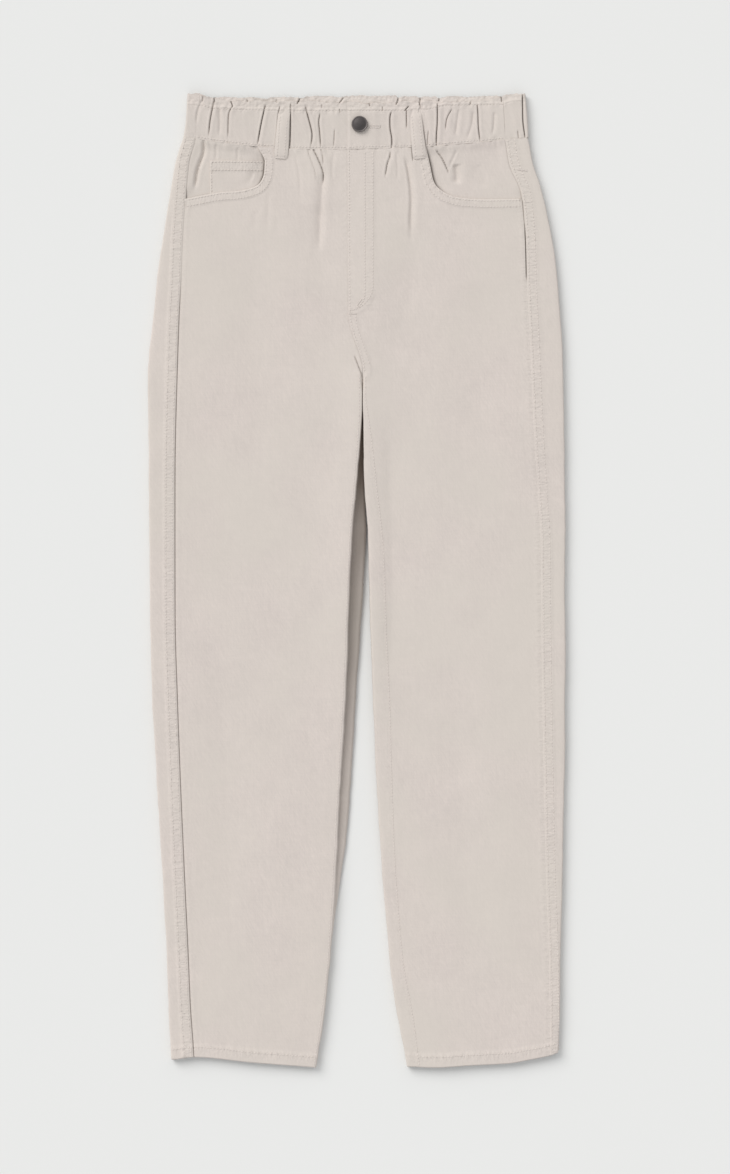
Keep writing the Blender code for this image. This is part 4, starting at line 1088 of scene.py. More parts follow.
def band_back_grid():
    """(points, normals, marks) of the back waistband, round both sides and along the floor."""
    share = band_rows()[:, None]
    half = LAID_HEIGHT / 2
    fullest = np.arccos(np.linspace(0, 0.97, 16) ** (1 / EDGE_FULLNESS))
    turn = np.concatenate([fullest, np.linspace(0.45, -1.5, 12), [-math.pi / 2]])[None, :]
    turned = (len(share), turn.size)
    parts = []
    ends = (("right_seam", "right_edge", 1, 14), ("left_seam", "left_edge", -1, 40))
    for seam, edge, inward, columns in ends:
        seam_x = BAND[seam](share) - inward * CLOSED_GAP / 2
        edge_x = BAND[edge](share)
        reach = np.abs(edge_x - seam_x) - EDGE_ROLL
        flat_x = seam_x - inward * reach * np.linspace(0, 1, columns)[:-1]
        reach = np.clip(np.cos(turn), 0, 1) ** EDGE_FULLNESS
        x = np.concatenate([flat_x, edge_x + inward * EDGE_ROLL * (1 - reach)], axis=1)
        drop = np.concatenate([0 * flat_x, np.broadcast_to((1 - np.sin(turn)) / 2, turned)], axis=1)
        side = np.broadcast_to(-inward * np.cos(turn) / EDGE_ROLL, turned)
        rise = np.broadcast_to(np.sin(turn) / half, turned)
        length = np.hypot(side, rise)
        round_normal = stacked(side / length, 0 * side, rise / length)
        normal = np.concatenate([upright(flat_x.shape), round_normal], axis=1)
        y = frilled_y(x, share, BACK_FRILL, 3)
        z, marks = band_top(x, y)
        shown = (0.35 if inward < 0 else 0.10) * np.clip(0.6 + 0.8 * mottled(0 * y, y, 0.011, 59), 0, 1)
        z += seam_dip(np.abs(x - seam_x), 0.0008 * shown, 0.0006)
        mark(marks, 0, shown * bump(x - seam_x, 0.0006))
        parts.append((x, y, z * (1 - drop), normal, marks))
    floor_start, floor_end = parts[0][0][:, -1:], parts[1][0][:, -1:]
    floor_x = floor_start + (floor_end - floor_start) * np.linspace(0, 1, FLOOR_BAND_COLUMNS)[1:-1]
    floor_y = frilled_y(floor_x, share, BACK_FRILL, 3)
    within = smooth((floor_x - floor_x[:, :1]) / 0.010) * smooth((floor_x[:, -1:] - floor_x) / 0.010)
    stiff = (0.0056 * smooth((share - 0.45) / 0.30) - 0.0014 * smooth((share - 0.80) / 0.20)) * within
    wavy = 0.0009 * mottled(floor_x, 0.3 * floor_y, 0.0050, 75)
    wavy += 0.0005 * mottled(floor_x, floor_y, 0.0020, 76)
    notched, floor_marks = pressed(FRILL_NOTCHES, floor_x, floor_y, sizes().gather)
    floor_z = np.maximum(stiff + (wavy * smooth((share - 0.70) / 0.2) + notched) * within, 0)
    mark(floor_marks, 1, 0.5 * smooth((share - 0.7) / 0.1) * within)
    floor = (floor_x, floor_y, floor_z, -upright(floor_x.shape), floor_marks)
    left = tuple(part[:, ::-1] for part in parts[1])
    joined = [np.concatenate([a, b, c], axis=1) for a, b, c in zip(parts[0], floor, left)]
    return stacked(*joined[:3]), joined[3], joined[4]


# Stitches


# A stitch's rings: their place along it, girth and rise, as shares of its length and thickness, and
# how much painted shade darkens the thread there, where it dives into the cloth
StitchRing = namedtuple("StitchRing", "along girth rise sunk")
STITCH_RINGS = (
    StitchRing(-0.5, 0.0, -0.25, 1.0),
    StitchRing(-0.34, 0.85, 0.05, 0.45),
    StitchRing(0.0, 1.0, 0.32, 0.0),
    StitchRing(0.34, 0.85, 0.05, 0.45),
    StitchRing(0.5, 0.0, -0.25, 1.0),
)
STITCH_SIDES = 6


def stitch_block(middles, runs, lifts, length, thread):
    """(verts, faces, sunk) of one short, humped length of thread at each point, sunk being the painted shade at
    each vertex.
    """
    count = len(middles)
    across = np.cross(lifts, runs)
    across /= np.linalg.norm(across, axis=1)[:, None]
    turn = (np.arange(STITCH_SIDES) * 2 * math.pi / STITCH_SIDES)[None, :, None]
    verts, sunk = [], []
    for ring in STITCH_RINGS:
        centre = (middles + runs * (ring.along * length) + lifts * (ring.rise * thread))[:, None, :]
        if ring.girth == 0:
            verts.append(centre)
            sunk.append(ring.sunk)
            continue
        around = across[:, None, :] * np.cos(turn) + lifts[:, None, :] * np.sin(turn)
        verts.append(centre + around * ring.girth * thread / 2)
        sunk += [ring.sunk] * STITCH_SIDES
    verts = np.concatenate(verts, axis=1)
    last_ring = 1 + 2 * STITCH_SIDES
    faces = []
    for side in range(STITCH_SIDES):
        after = (side + 1) % STITCH_SIDES
        faces.append((0, 1 + after, 1 + side))
        for low in (1, 1 + STITCH_SIDES):
            high = low + STITCH_SIDES
            faces.append((low + side, low + after, high + after))
            faces.append((low + side, high + after, high + side))
        faces.append((last_ring + side, last_ring + after, len(sunk) - 1))
    faces = np.array(faces)[None] + (np.arange(count) * len(sunk))[:, None, None]
    return verts.reshape(-1, 3), faces.reshape(-1, 3), np.tile(sunk, count)


class Seam:
    """Collects rows of stitches that become one piece."""

    def __init__(self):
        self.verts = []
        self.faces = []
        self.sunk = []
        self.total = 0

    def add(self, middles, runs, lifts, length, thread):
        verts, faces, sunk = stitch_block(middles, runs, lifts, length, thread)
        self.verts.append(verts)
        self.sunk.append(sunk)
        self.faces.append(faces + self.total)
        self.total += len(verts)

    def row(self, path, surface, seed=1):
        """A row of stitches along a plan path on a surface given as (x, y) -> z."""
        at = resampled(np.asarray(path), sizes().stitch_step)
        middles = (at[:-1] + at[1:]) / 2
        number = np.arange(len(middles), dtype=float)
        wander = 0.00012 * mottled(number, 0 * number, 2.3, 80 + seed)
        runs = at[1:] - at[:-1]
        runs /= np.linalg.norm(runs, axis=1)[:, None]
        middles = middles + np.stack([-runs[:, 1], runs[:, 0]], axis=1) * wander[:, None]
        ahead, behind = middles + runs * 0.0008, middles - runs * 0.0008
        z = surface(middles[:, 0], middles[:, 1])
        slope = (surface(ahead[:, 0], ahead[:, 1]) - surface(behind[:, 0], behind[:, 1])) / 0.0016
        slope = np.clip(slope, -1.5, 1.5)
        runs3 = np.stack([runs[:, 0], runs[:, 1], slope], axis=1)
        runs3 /= np.linalg.norm(runs3, axis=1)[:, None]
        lifts = UP[None, :] - runs3 * runs3[:, 2:3]
        lifts /= np.linalg.norm(lifts, axis=1)[:, None]
        centre = np.stack([middles[:, 0], middles[:, 1], z + 0.00006], axis=1)
        self.add(centre, runs3, lifts, sizes().stitch, sizes().thread)

    def tack(self, start, end, surface, width=0.0020):
        """A bar tack: close stitches across a short line."""
        start, end = np.array(start), np.array(end)
        count = max(4, int(np.linalg.norm(end - start) / 0.00052))
        share = (np.arange(count) + 0.5)[:, None] / count
        middles = start + (end - start) * share
        run = (end - start) / np.linalg.norm(end - start)
        over = np.array([-run[1], run[0]])
        z = surface(middles[:, 0], middles[:, 1])
        centre = np.stack([middles[:, 0], middles[:, 1], z + 0.0001], axis=1)
        runs = np.broadcast_to(np.array([over[0], over[1], 0.0]), (count, 3)).copy()
        self.add(centre, runs, np.broadcast_to(UP, (count, 3)).copy(), width, 0.0005)

    def finish(self, name, finish, slot="twill"):
        verts = np.concatenate(self.verts)
        faces = np.concatenate(self.faces)
        marks = no_marks(verts[:, 0])
        # The first mark is the painted shade where the thread dives into the cloth
        marks[:, 0] = np.concatenate(self.sunk)
        return add_piece(name, verts, faces.tolist(), finish, marks)


def on_front(leg):
    return lambda x, y: front_top(leg, x, y)[0] * (1 - leg.roll_share(x, y))


def on_strip(leg):
    return lambda x, y: strip_top(leg, x, y)[0] * (1 - leg.roll_share(x, y))


def on_band(leg):
    """The height of the front band's face, with the left half's lap."""
    return lambda x, y: band_top(x, y)[0] + lap_rise(x) * leg.is_left


def on_coin(x, y):
    """The height of the coin pocket's face."""
    turned_in = 0.0003 * (1 - smooth((COIN_TOP_Y - y - 0.0105) / 0.0012))
    return facing_top(RIGHT, x, y)[0] + 0.0012 + turned_in


# Materials


class Wire:
    """A socket of a material, worked with as a number."""

    def __init__(self, finish, socket):
        self.finish = finish
        self.socket = socket

    def math(self, operation, first, second=None):
        inputs = {0: first} if second is None else {0: first, 1: second}
        return self.finish.node("ShaderNodeMath", {"operation": operation}, inputs)

    def __add__(self, other):
        return self.math("ADD", self, other)

    __radd__ = __add__

    def __sub__(self, other):
        return self.math("SUBTRACT", self, other)

    def __rsub__(self, other):
        return self.math("SUBTRACT", other, self)

    def __mul__(self, other):
        return self.math("MULTIPLY", self, other)

    __rmul__ = __mul__

    def sine(self):
        return self.math("SINE", self)

    def power(self, exponent):
        return self.math("POWER", self, exponent)


class Finish:
    """A material while it is put together."""

    def __init__(self, name, colour):
        self.material = bpy.data.materials.new(name)
        self.material.use_nodes = True
        self.material.diffuse_color = (*colour, 1.0)
        self.nodes = self.material.node_tree.nodes
        self.links = self.material.node_tree.links
        self.shader = self.nodes["Principled BSDF"]

    def node(self, kind, settings=None, inputs=None, output=0):
        """A node of that type, its settings first and then the values or links of its sockets."""
        made = self.nodes.new(kind)
        for key, value in (settings or {}).items():
            setattr(made, key, value)
        for key, value in (inputs or {}).items():
            self.feed(made.inputs[key], value)
        return Wire(self, made.outputs[output])

    def out(self, wire, output):
        """Another output of the node that the wire comes from."""
        return Wire(self, wire.socket.node.outputs[output])

    def feed(self, socket, value):
        if isinstance(value, Wire):
            self.links.new(value.socket, socket)
        else:
            socket.default_value = value

    def place(self):
        return self.node("ShaderNodeTexCoord", output="Object")

    def scaled(self, vector, scale, turned=0.0):
        """A place stretched by that scale, and turned about z."""
        return self.node("ShaderNodeMapping", inputs={0: vector, 2: (0.0, 0.0, turned), 3: scale})

    def noise(self, vector, scale, detail=2.0, roughness=0.5):
        inputs = {"Vector": vector, "Scale": scale, "Detail": detail, "Roughness": roughness}
        return self.node("ShaderNodeTexNoise", inputs=inputs)

    def streaks(self, vector, scale, detail, roughness, turned=0.0):
        """Noise that is finer one way than the others."""
        return self.noise(self.scaled(vector, scale, turned), 1.0, detail, roughness)

    def marks(self):
        """The mesh's first mark. Its node's outputs 1 and 2 are the others."""
        marks = self.node("ShaderNodeAttribute", {"attribute_name": "marks"}, output="Vector")
        return self.node("ShaderNodeSeparateXYZ", inputs={0: marks})

    def bump(self, strength, distance, height, **more):
        inputs = {"Strength": strength, "Distance": distance, "Height": height, **more}
        return self.node("ShaderNodeBump", inputs=inputs, output="Normal")

    def spread(self, value, low, high, top=1.0):
        """0 where the value is at its low, and top at its high."""
        inputs = {0: value, 1: low, 2: high, 3: 0.0, 4: top}
        return self.node("ShaderNodeMapRange", {"clamp": True}, inputs)

    def mix(self, factor, first, second):
        """A colour between two colours."""
        inputs = {0: factor, 6: first, 7: second}
        return self.node("ShaderNodeMix", {"data_type": "RGBA"}, inputs, output=2)

    def set(self, **values):
        """Values or links for the shader's own sockets, with spaces as underscores."""
        for key, value in values.items():
            self.feed(self.shader.inputs[key.replace("_", " ")], value)


def tinted(colour, factor, warm=0.0):
    """A colour made lighter or darker, and warmer or cooler."""
    return (
        min(1.0, colour[0] * factor * (1 + warm)),
        min(1.0, colour[1] * factor),
        min(1.0, colour[2] * factor * (1 - warm)),
        1.0,
    )


def twill_finish(name, colour, turned=0.0):
    """Cotton twill: fine diagonal ribs, warp streaks, slubs and mottling, with painted shade inside creases and
    wherever the first mark lies.
    """
    finish = Finish(name, colour)
    base = finish.scaled(finish.place(), (1.0, 1.0, 1.0), turned)
    slanted = finish.scaled(base, (1.0, 1.0, 1.0), math.radians(62))
    warp = finish.streaks(base, (820.0, 60.0, 60.0), 2.0, 0.65)
    weft = finish.streaks(base, (70.0, 760.0, 70.0), 2.0, 0.6)
    wale = finish.streaks(slanted, (95.0, 640.0, 95.0), 1.5, 0.55)
    cloud = finish.noise(base, 30.0, 3.0, 0.55)
    patch = finish.noise(base, 8.0, 2.0, 0.5)
    fleck = finish.noise(base, 420.0, 2.5, 0.7)
    split = finish.node("ShaderNodeSeparateXYZ", inputs={0: slanted})
    ribs = (finish.out(split, 1) * 7400.0 + wale * 5.0).sine() * 0.5 + 0.5
    shade_and_ripples = finish.marks()
    upright_ripple = finish.streaks(base, (150.0, 430.0, 150.0), 2.0, 0.6)
    level_ripple = finish.streaks(base, (430.0, 150.0, 150.0), 2.0, 0.6)
    ripple = (upright_ripple - 0.5) * finish.out(shade_and_ripples, 1) + (level_ripple - 0.5) * finish.out(shade_and_ripples, 2)
    light = ribs * 0.10 + warp * 0.20 + weft * 0.12 + wale * 0.22 + fleck * 0.16 + cloud * 0.20
    # The seam ripples tint the cloth as well: paler on their crests, as wear, and darker in their hollows, as
    # painted shade
    shade = finish.spread(light + ripple * 0.30, 0.34, 0.66)
    cloth = finish.mix(shade, tinted(colour, 0.90, -0.004), tinted(colour, 1.085, 0.004))
    blush = (colour[0] * 0.988, colour[1] * 1.016, colour[2] * 0.990, 1.0)
    cloth = finish.mix(finish.spread(patch, 0.35, 0.65, 0.6), cloth, blush)
    # The first mark darkens the cloth: painted shade in creases, gaping pocket mouths and between the legs, and
    # the dark seam lines
    cloth = finish.mix(shade_and_ripples * 0.80, cloth, tinted(colour, 0.16, 0.16))
    weave = ribs * 0.5 + warp * 0.3 + weft * 0.2 + wale * 0.5 + fleck * 0.4
    normal = finish.bump(1.0, 0.0011, ripple, Normal=finish.bump(0.6, 0.00022, weave))
    finish.set(Base_Color=cloth, Normal=normal, Roughness=0.86 + cloud * 0.10)
    finish.set(Sheen_Weight=0.10, Sheen_Roughness=0.5, Specular_IOR_Level=0.22)
    return finish.material


def thread_finish(colour):
    """Twisted cotton thread, a shade lighter than the cloth, with painted shade where it dives into the cloth.
    """
    finish = Finish("thread", colour)
    place = finish.place()
    twist = finish.streaks(place, (2600.0, 2600.0, 900.0), 1.0, 0.5)
    patch = finish.noise(place, 75.0, 2.0, 0.5)
    shade = finish.mix(twist * 0.5 + patch * 0.5, tinted(colour, 0.90), tinted(colour, 1.10))
    # Painted shade at the stitch ends, where the thread dives into the cloth
    shade = finish.mix(finish.marks().power(2.0) * 0.65, shade, tinted(colour, 0.36, 0.06))
    normal = finish.bump(0.5, 0.0001, twist)
    finish.set(Base_Color=shade, Normal=normal, Roughness=0.62 + patch * 0.12, Sheen_Weight=0.08)
    return finish.material


def metal_finish(colour):
    """Dark burnished metal, finely brushed and paler on its rim."""
    finish = Finish("button_metal", colour)
    place = finish.place()
    brushed = finish.streaks(place, (3000.0, 500.0, 500.0), 3.0, 0.6, 0.6)
    patch = finish.noise(place, 420.0, 3.0, 0.6)
    shade = finish.mix(patch * 0.7 + brushed * 0.3, tinted(colour, 0.72), tinted(colour, 1.45, 0.02))
    shade = finish.mix(finish.marks() * 0.55, shade, tinted(colour, 3.2, 0.03))
    normal = finish.bump(0.3, 0.00008, brushed)
    finish.set(Base_Color=shade, Normal=normal, Roughness=0.36 + patch * 0.22, Metallic=0.9)
    return finish.material


def finish_of(name):
    """The shared finishes, made once. The frame's own materials may have the same names."""
    scene = bpy.context.scene
    if name + "_made" in scene:
        return bpy.data.materials[scene[name + "_made"]]
    twill = tuple(colours().twill)
    duller = tuple(part * 0.985 for part in twill)
    if name == "thread":
        made = thread_finish(tuple(colours().thread))
    elif name == "button_metal":
        made = metal_finish(tuple(colours().metal))
    else:
        turned = {"jeans_twill": 0.0, "facing_twill": 0.06, "band_twill": -0.03}[name]
        colour = twill if name == "jeans_twill" else duller
        made = twill_finish(name, colour, turned)
    scene[name + "_made"] = made.name
    return made


# Cloth pieces


Cut = namedtuple("Cut", "width length finish slot fullness")
# The flat cut of each kind of cloth piece, and how much more cloth it has than its grid shows
CUTS = {
    "front": Cut(0.245, 0.985, "jeans_twill", "twill", 1.0),
    "back": Cut(0.285, 0.985, "jeans_twill", "twill", 1.0),
    "pocket_facing": Cut(0.115, 0.085, "facing_twill", "pocket_twill", 1.0),
    "coin_pocket": Cut(0.064, 0.046, "facing_twill", "pocket_twill", 1.0),
    "waistband_front": Cut(0.235, 0.062, "band_twill", "twill", 1.15),
    "waistband_back": Cut(0.520, 0.062, "band_twill", "twill", 1.15),
    "belt_loop": Cut(0.0135, 0.068, "band_twill", "twill", 1.0),
}


def lay_cloth(node, grid, thick):
    """Makes the cloth piece that stands for that solid, and works out the area of its flat cut."""
    outer, normal, marks = grid
    cut = CUTS[node.removeprefix("right_").removeprefix("left_")]
    piece = shell("cloth_" + node, outer, normal, thick, finish_of(cut.finish), marks)
    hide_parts(node)
    area = min(skin_area(outer) * cut.fullness, cut.width * cut.length)


def loop_line(loop):
    """(top, foot, length, run, over) of a belt loop: its ends, and the ways along and across it."""
    top, foot = np.array([loop.top_x, loop.top_y]), np.array([loop.foot_x, loop.foot_y])
    length = np.linalg.norm(top - foot)
    run = (top - foot) / length
    return top, foot, length, run, np.array([run[1], -run[0]])


def loop_surface(loop):
    """The height of a belt loop's top face at plan points."""
    _, foot, length, run, over = loop_line(loop)

    def surface(x, y):
        along = ((x - foot[0]) * run[0] + (y - foot[1]) * run[1]) / length
        across = (x - foot[0]) * over[0] + (y - foot[1]) * over[1]
        arched = 0.0006 * np.sin(math.pi * np.clip(along, 0, 1)) ** 0.6
        edge = across / (sizes().loop_width / 2)
        slack = smooth(-edge) * (0.35 + 0.65 * smooth((along - 0.25) / 0.4))
        rounded = -0.0006 * np.clip(np.abs(edge), 0, 1) ** 6 - 0.0012 * slack
        ends = 0.0013 * bump(along, 0.05) + 0.0022 * bump(1 - along, 0.16)
        waves = 0.00015 * mottled(x, y, 0.006, 91) - 0.00010 * bump(np.abs(across) - LOOP_ROW, 0.0006)
        return LAID_HEIGHT + 0.0017 + arched + rounded - ends + waves

    return surface


def loop_grid(loop):
    """(points, normals, marks) of a belt loop that bridges the gathers."""
    top, foot, _, _, over = loop_line(loop)
    along = np.linspace(0, 1, 70)[:, None]
    across = np.sin(np.linspace(-math.pi / 2, math.pi / 2, 25))[None, :] * sizes().loop_width / 2
    uneven = 1 + 0.03 * mottled(along * 0.06, 0 * along, 0.012, 92) + 0.15 * bump(along - 0.2, 0.25)
    x = foot[0] + (top[0] - foot[0]) * along + over[0] * across * uneven
    y = foot[1] + (top[1] - foot[1]) * along + over[1] * across * uneven
    marks = no_marks(x)
    mark(marks, 1, 0.4 * bump(np.abs(across) - LOOP_ROW, 0.0016))
    return stacked(x, y, loop_surface(loop)(x, y)), upright(x.shape), marks


Turned = namedtuple("Turned", "reach height")
# The button's outline from its shank's foot to the middle of its face: a share of its radius, and
# the height in millimetres
BUTTON_PROFILE = (
    Turned(0.0, 0.0),
    Turned(0.36, 0.0),
    Turned(0.38, 1.1),
    Turned(0.90, 1.1),
    Turned(0.97, 1.3),
    Turned(1.0, 1.8),
    Turned(0.995, 2.4),
    Turned(0.965, 2.9),
    Turned(0.93, 3.1),
    Turned(0.89, 3.1),
    Turned(0.86, 2.9),
    Turned(0.83, 2.75),
    Turned(0.78, 2.8),
    Turned(0.60, 3.1),
    Turned(0.40, 3.4),
    Turned(0.20, 3.55),
    Turned(0.0, 3.6),
)
BUTTON_SIDES = 72
BUTTON_RIM = 8


# Stitch rows


def sew_side(seam, leg):
    """Two rows up the side seam's allowance, and the left pocket's bar tack."""
    for away in SIDE_ROWS:
        seam.row(leg.path_up("side_seam", 0.002, WAIST_HEIGHT, -away), on_strip(leg), 3)
    if leg.is_left:
        x = leg.curve["side_seam"](0.915)
        seam.tack((x + 0.001, 0.9345), (x + 0.0115, 0.9330), on_strip(leg))


def sew_hem(seam, leg):
    outer, side, inner, turned = (float(curve(HEM_ROW)) for curve in leg.curve.values())
    outer += leg.inward * 0.0012
    inner -= leg.inward * (0.0015 + turned)
    for start, end, surface in ((side, inner, on_front(leg)), (outer, side, on_strip(leg))):
        x = np.linspace(start, end, 60)
        seam.row(plan(x, laid(x, HEM_ROW)), surface, 5)


def sew_inseam(seam, leg):
    height = np.linspace(0.002, CROTCH_HEIGHT - 0.004, 90)
    x = leg.inseam_x(height, INSEAM_ROW)
    seam.row(plan(x, laid(x, height)), on_front(leg), 7)


def sew_pocket(seam, leg):
    """Two rows round the pocket mouth, from the side seam to the waistband."""
    for away in MOUTH_ROWS:
        path = beside(leg.mouth, -leg.inward * away)
        x, y = path.T
        past_side = (x - leg.curve["side_seam"](height_of(x, y))) * leg.inward > 0.0008
        seam.row(path[(y < band_y(x, 0.0) - 0.001) & past_side], on_front(leg), 9)


def sew_band(seam, leg):
    """A row above the waist seam and the row under the frill."""
    if leg.is_left:
        start, end = LAP_X + 0.0015, float(BAND["left_seam"](0.1)) - 0.001
    else:
        start, end = float(BAND["right_seam"](0.1)) + 0.001, LAP_X - 0.001
    x = np.linspace(start, end, 90)
    seam.row(plan(x, band_y(x, 0.0) + WAIST_ROW), on_band(leg), 17)
    seam.row(plan(x, band_y(x, stitch_share(x))), on_band(leg), 18)


def sew_fly(seam):
    """The two curved rows, the row down the lap, the crotch seam's row and two bar tacks."""
    surface = on_front(LEFT)
    for reach in FLY_ROWS:
        turn = np.linspace(0, math.pi / 2, 24)
        middle_y = FLY_FOOT + 0.004 + reach
        curve = plan(LAP_X + reach * np.cos(turn), middle_y - reach * np.sin(turn) * 0.96)
        straight = plan(LAP_X + reach, np.linspace(0.9530, middle_y, 40))
        seam.row(np.concatenate([straight, curve[1:-1]]), surface, 11)
    seam.row(beside(LEFT.centre_path, -LAP_ROW), surface, 13)
    seam.row(LEFT.path_up("inner", CROTCH_HEIGHT + 0.008, FLY_FOOT, 0.0078), surface, 14)
    seam.tack((LAP_X + 0.0015, FLY_FOOT + 0.0015), (LAP_X + 0.0100, FLY_FOOT + 0.0015), surface)
    seam.tack((LAP_X + 0.0105, FLY_FOOT + 0.0100), (LAP_X + 0.0150, FLY_FOOT + 0.0165), surface)


def sew_coin_pocket(seam):
    for down in COIN_ROWS:
        x = np.linspace(COIN_LEFT_X + 0.001, -0.1035, 30)
        seam.row(plan(x, COIN_TOP_Y - down), on_coin, 15)
    y = np.linspace(COIN_TOP_Y - 0.001, 0.9110, 20)
    seam.row(plan(COIN_LEFT_X + COIN_SIDE_ROW, y), on_coin, 16)


def sew_loops(seam):
    """Two rows down each belt loop, and the bar tack across its foot."""
    for loop in LOOPS:
        surface = loop_surface(loop)
        top, foot, _, run, over = loop_line(loop)
        for side in (-LOOP_ROW, LOOP_ROW):
            ends = np.stack([foot + over * side + run * 0.003, top + over * side - run * 0.009])
            seam.row(resampled(ends, 0.004), surface, 19)
        middle = foot + run * 0.0016
        seam.tack(middle - over * 0.0055, middle + over * 0.0055, surface)


def sew_buttonhole(seam):
    surface = on_band(LEFT)
    y = BUTTON_Y - 0.0022
    for side in (-0.0011, 0.0011):
        seam.tack((BUTTON_X + 0.0060, y + side), (0.0175, y + side), surface, 0.0019)
    seam.tack((0.0180, y - 0.0015), (0.0180, y + 0.0015), surface, 0.0020)


LEG_SEAMS = {"side": sew_side, "hem": sew_hem, "inseam": sew_inseam, "pocket": sew_pocket, "band": sew_band}
OTHER_SEAMS = {
    "fly": sew_fly,
    "coin_pocket": sew_coin_pocket,
    "belt_loop": sew_loops,
    "buttonhole": sew_buttonhole,
}


# Operators


class JEANS_OT_fronts(bpy.types.Operator):
    """Lays the two front panels"""

    bl_idname = "jeans.fronts"
    bl_label = "Front panels"

    def execute(self, context):
        for leg in LEGS:
            grid = front_grid(leg)
            height = height_of(grid[0][..., 0], grid[0][..., 1])
            hem = 0.0014 * (1 - smooth((height - HEM_DEPTH) / 0.001))
            lay_cloth(leg.name + "_front", grid, sizes().cloth + hem)
        return {"FINISHED"}


class JEANS_OT_backs(bpy.types.Operator):
    """Lays the two back panels, which show beside the side seams and inseams"""

    bl_idname = "jeans.backs"
    bl_label = "Back panels"

    def execute(self, context):
        for leg in LEGS:
            lay_cloth(leg.name + "_back", back_grid(leg), sizes().cloth)
        return {"FINISHED"}


class JEANS_OT_pockets(bpy.types.Operator):
    """Lays the pocket facings and the coin pocket"""

    bl_idname = "jeans.pockets"
    bl_label = "Pocket facings"

    def execute(self, context):
        thick = sizes().pocket_cloth
        for leg in LEGS:
            lay_cloth(leg.name + "_pocket_facing", facing_grid(leg), thick)
        lay_cloth("coin_pocket", coin_grid(), thick)
        return {"FINISHED"}


class JEANS_OT_waistband(bpy.types.Operator):
    """Gathers the waistband and its frill"""

    bl_idname = "jeans.waistband"
    bl_label = "Waistband"

    def execute(self, context):
        thick, thin = sizes().cloth, 0.00025
        for leg in LEGS:
            grid = band_front_grid(leg)
            full = smooth((grid[0][..., 0] - LAP_X) / 0.0035) if leg.is_left else 1.0
            lay_cloth(leg.name + "_waistband_front", grid, thin + (thick - thin) * full)
        lay_cloth("waistband_back", band_back_grid(), thick)
        return {"FINISHED"}


class JEANS_OT_belt_loops(bpy.types.Operator):
    """Sews on the belt loops"""

    bl_idname = "jeans.belt_loops"
    bl_label = "Belt loops"

    def execute(self, context):
        for loop in LOOPS:
            lay_cloth(loop.name, loop_grid(loop), sizes().cloth)
        return {"FINISHED"}


class JEANS_OT_button(bpy.types.Operator):
    """Sets the waist button"""

    bl_idname = "jeans.button"
    bl_label = "Waist button"

    def execute(self, context):
        radius = sizes().button
        rest = LAID_HEIGHT + 0.0012
        turn = np.arange(BUTTON_SIDES) * 2 * math.pi / BUTTON_SIDES
        verts, paler_rim, faces = [], [], []
        for number, ring in enumerate(BUTTON_PROFILE):
            angle = turn[:1] if ring.reach == 0 else turn
            x = BUTTON_X + ring.reach * radius * np.cos(angle)
            y = BUTTON_Y + ring.reach * radius * np.sin(angle)
            verts.append(stacked(x, y, np.full(len(angle), rest + ring.height * MM)))
            paler_rim.append(np.full(len(angle), bump(number - BUTTON_RIM, 2.2)))
        start = 0
        for low, high in zip(verts, verts[1:]):
            for side in range(BUTTON_SIDES):
                after = (side + 1) % BUTTON_SIDES
                if len(low) == 1:
                    faces.append((start, start + 1 + after, start + 1 + side))
                elif len(high) == 1:
                    faces.append((start + side, start + after, start + BUTTON_SIDES))
                else:
                    above = start + BUTTON_SIDES
                    faces.append((start + side, start + after, above + after, above + side))
            start += len(low)
        rings = np.concatenate(verts)
        marks = no_marks(rings[:, 0])
        marks[:, 0] = np.concatenate(paler_rim)
        metal = finish_of("button_metal")
        piece = add_piece("dressed_waist_button", rings, faces, metal, marks)
        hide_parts("waist_button")
        return {"FINISHED"}


class JEANS_OT_stitching(bpy.types.Operator):
    """Sews the topstitching, bar tacks and buttonhole"""

    bl_idname = "jeans.stitching"
    bl_label = "Topstitching"

    def execute(self, context):
        thread = finish_of("thread")
        for leg in LEGS:
            for name, sew in LEG_SEAMS.items():
                seam = Seam()
                sew(seam, leg)
                seam.finish(f"{leg.name}_{name}_stitching", thread)
        for name, sew in OTHER_SEAMS.items():
            seam = Seam()
            sew(seam)
            seam.finish(name + "_stitching", thread, "pocket_twill" if name == "coin_pocket" else "twill")
        return {"FINISHED"}


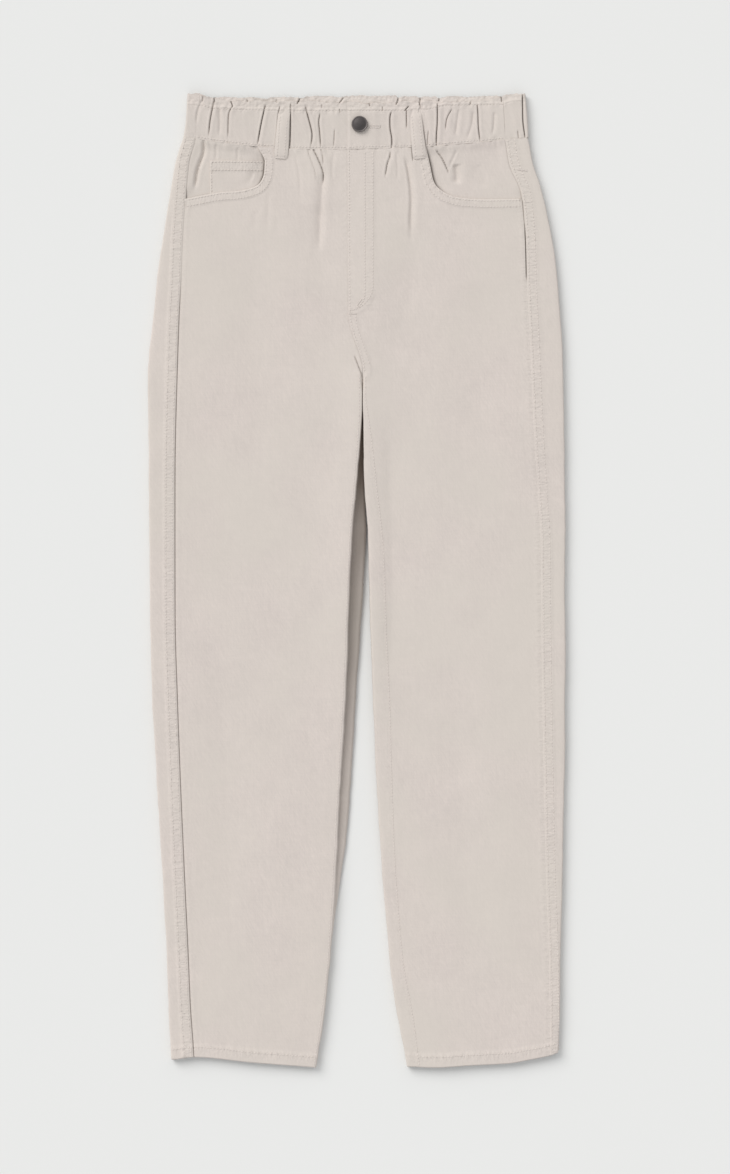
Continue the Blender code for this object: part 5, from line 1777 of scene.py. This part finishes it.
class JEANS_OT_stage(bpy.types.Operator):
    """Sets the floor, soft light and the camera straight above"""

    bl_idname = "jeans.stage"
    bl_label = "Stage"

    def execute(self, context):
        scene = context.scene
        scene.view_settings.view_transform = "Standard"
        mesh = bpy.data.meshes.new("floor")
        corners = [(FLOOR_REACH * x, FLOOR_REACH * y, 0.0) for x, y in ((-1, -1), (1, -1), (1, 1), (-1, 1))]
        mesh.from_pydata(corners, [], [(0, 1, 2, 3)])
        floor = bpy.data.objects.new("floor", mesh)
        floor.location.z = FLOOR_Z
        scene.collection.objects.link(floor)
        colour = tuple(colours().floor)
        finish = Finish("floor_paper", colour)
        cloud = finish.noise(finish.place(), 3.0, 2.0, 0.5)
        paper = finish.mix(cloud, tinted(colour, 0.995), tinted(colour, 1.005))
        finish.set(Base_Color=paper, Roughness=0.95, Specular_IOR_Level=0.1)
        mesh.materials.append(finish.material)
        world = bpy.data.worlds.new("studio")
        world.use_nodes = True
        background = world.node_tree.nodes["Background"]
        background.inputs["Color"].default_value = (0.985, 0.99, 1.0, 1.0)
        background.inputs["Strength"].default_value = 0.67
        scene.world = world
        self.sun("key_light", (0.52, -0.60, -0.63), 1.84, 38, (1.0, 0.985, 0.965))
        self.camera(scene)
        return {"FINISHED"}

    def sun(self, name, direction, strength, spread, colour):
        """A broad soft light that shines in that direction."""
        lamp = bpy.data.lights.new(name, "SUN")
        lamp.energy = strength
        lamp.angle = math.radians(spread)
        lamp.color = colour
        light = bpy.data.objects.new(name, lamp)
        light.rotation_euler = Vector(direction).to_track_quat("-Z", "Y").to_euler()
        bpy.context.scene.collection.objects.link(light)

    def camera(self, scene):
        """A camera whose picture is as tall as the photograph at the cloth's height."""
        data = bpy.data.cameras.new("camera")
        data.lens = 85.0
        data.sensor_width = 36.0
        data.clip_end = 30.0
        away = PICTURE_HEIGHT * PIXEL * data.lens / data.sensor_width
        camera = bpy.data.objects.new("camera", data)
        x = (PICTURE_MIDDLE[0] - PICTURE_ORIGIN[0]) * PIXEL + SHIFT_X
        y = (PICTURE_ORIGIN[1] - PICTURE_MIDDLE[1]) * PIXEL + SHIFT_Y
        camera.location = (x, y, LAID_HEIGHT + away)
        scene.collection.objects.link(camera)
        scene.camera = camera


OPERATORS = (
    JEANS_OT_backs,
    JEANS_OT_fronts,
    JEANS_OT_pockets,
    JEANS_OT_waistband,
    JEANS_OT_belt_loops,
    JEANS_OT_button,
    JEANS_OT_stitching,
    JEANS_OT_stage,
)


class VIEW3D_PT_mom_jeans(bpy.types.Panel):
    """Lists the jeans' sizes, colours and pieces"""

    bl_label = "Mom Jeans"
    bl_space_type = "VIEW_3D"
    bl_region_type = "UI"
    bl_category = "Mom Jeans"

    def draw(self, context):
        for group in (context.scene.jeans_sizes, context.scene.jeans_colours):
            for name in group.__annotations__:
                self.layout.prop(group, name)
        for operator in OPERATORS:
            self.layout.operator(operator.bl_idname)


CLASSES = (JeansSizes, JeansColours, *OPERATORS, VIEW3D_PT_mom_jeans)


def register():
    for made in CLASSES:
        bpy.utils.register_class(made)
    bpy.types.Scene.jeans_sizes = PointerProperty(type=JeansSizes)
    bpy.types.Scene.jeans_colours = PointerProperty(type=JeansColours)


def unregister():
    del bpy.types.Scene.jeans_colours
    del bpy.types.Scene.jeans_sizes
    for made in reversed(CLASSES):
        bpy.utils.unregister_class(made)


def main():
    register()
    bpy.ops.jeans.stage()
    bpy.ops.jeans.backs()
    bpy.ops.jeans.fronts()
    bpy.ops.jeans.pockets()
    bpy.ops.jeans.waistband()
    bpy.ops.jeans.belt_loops()
    bpy.ops.jeans.button()
    bpy.ops.jeans.stitching()


if __name__ == "__main__":
    main()
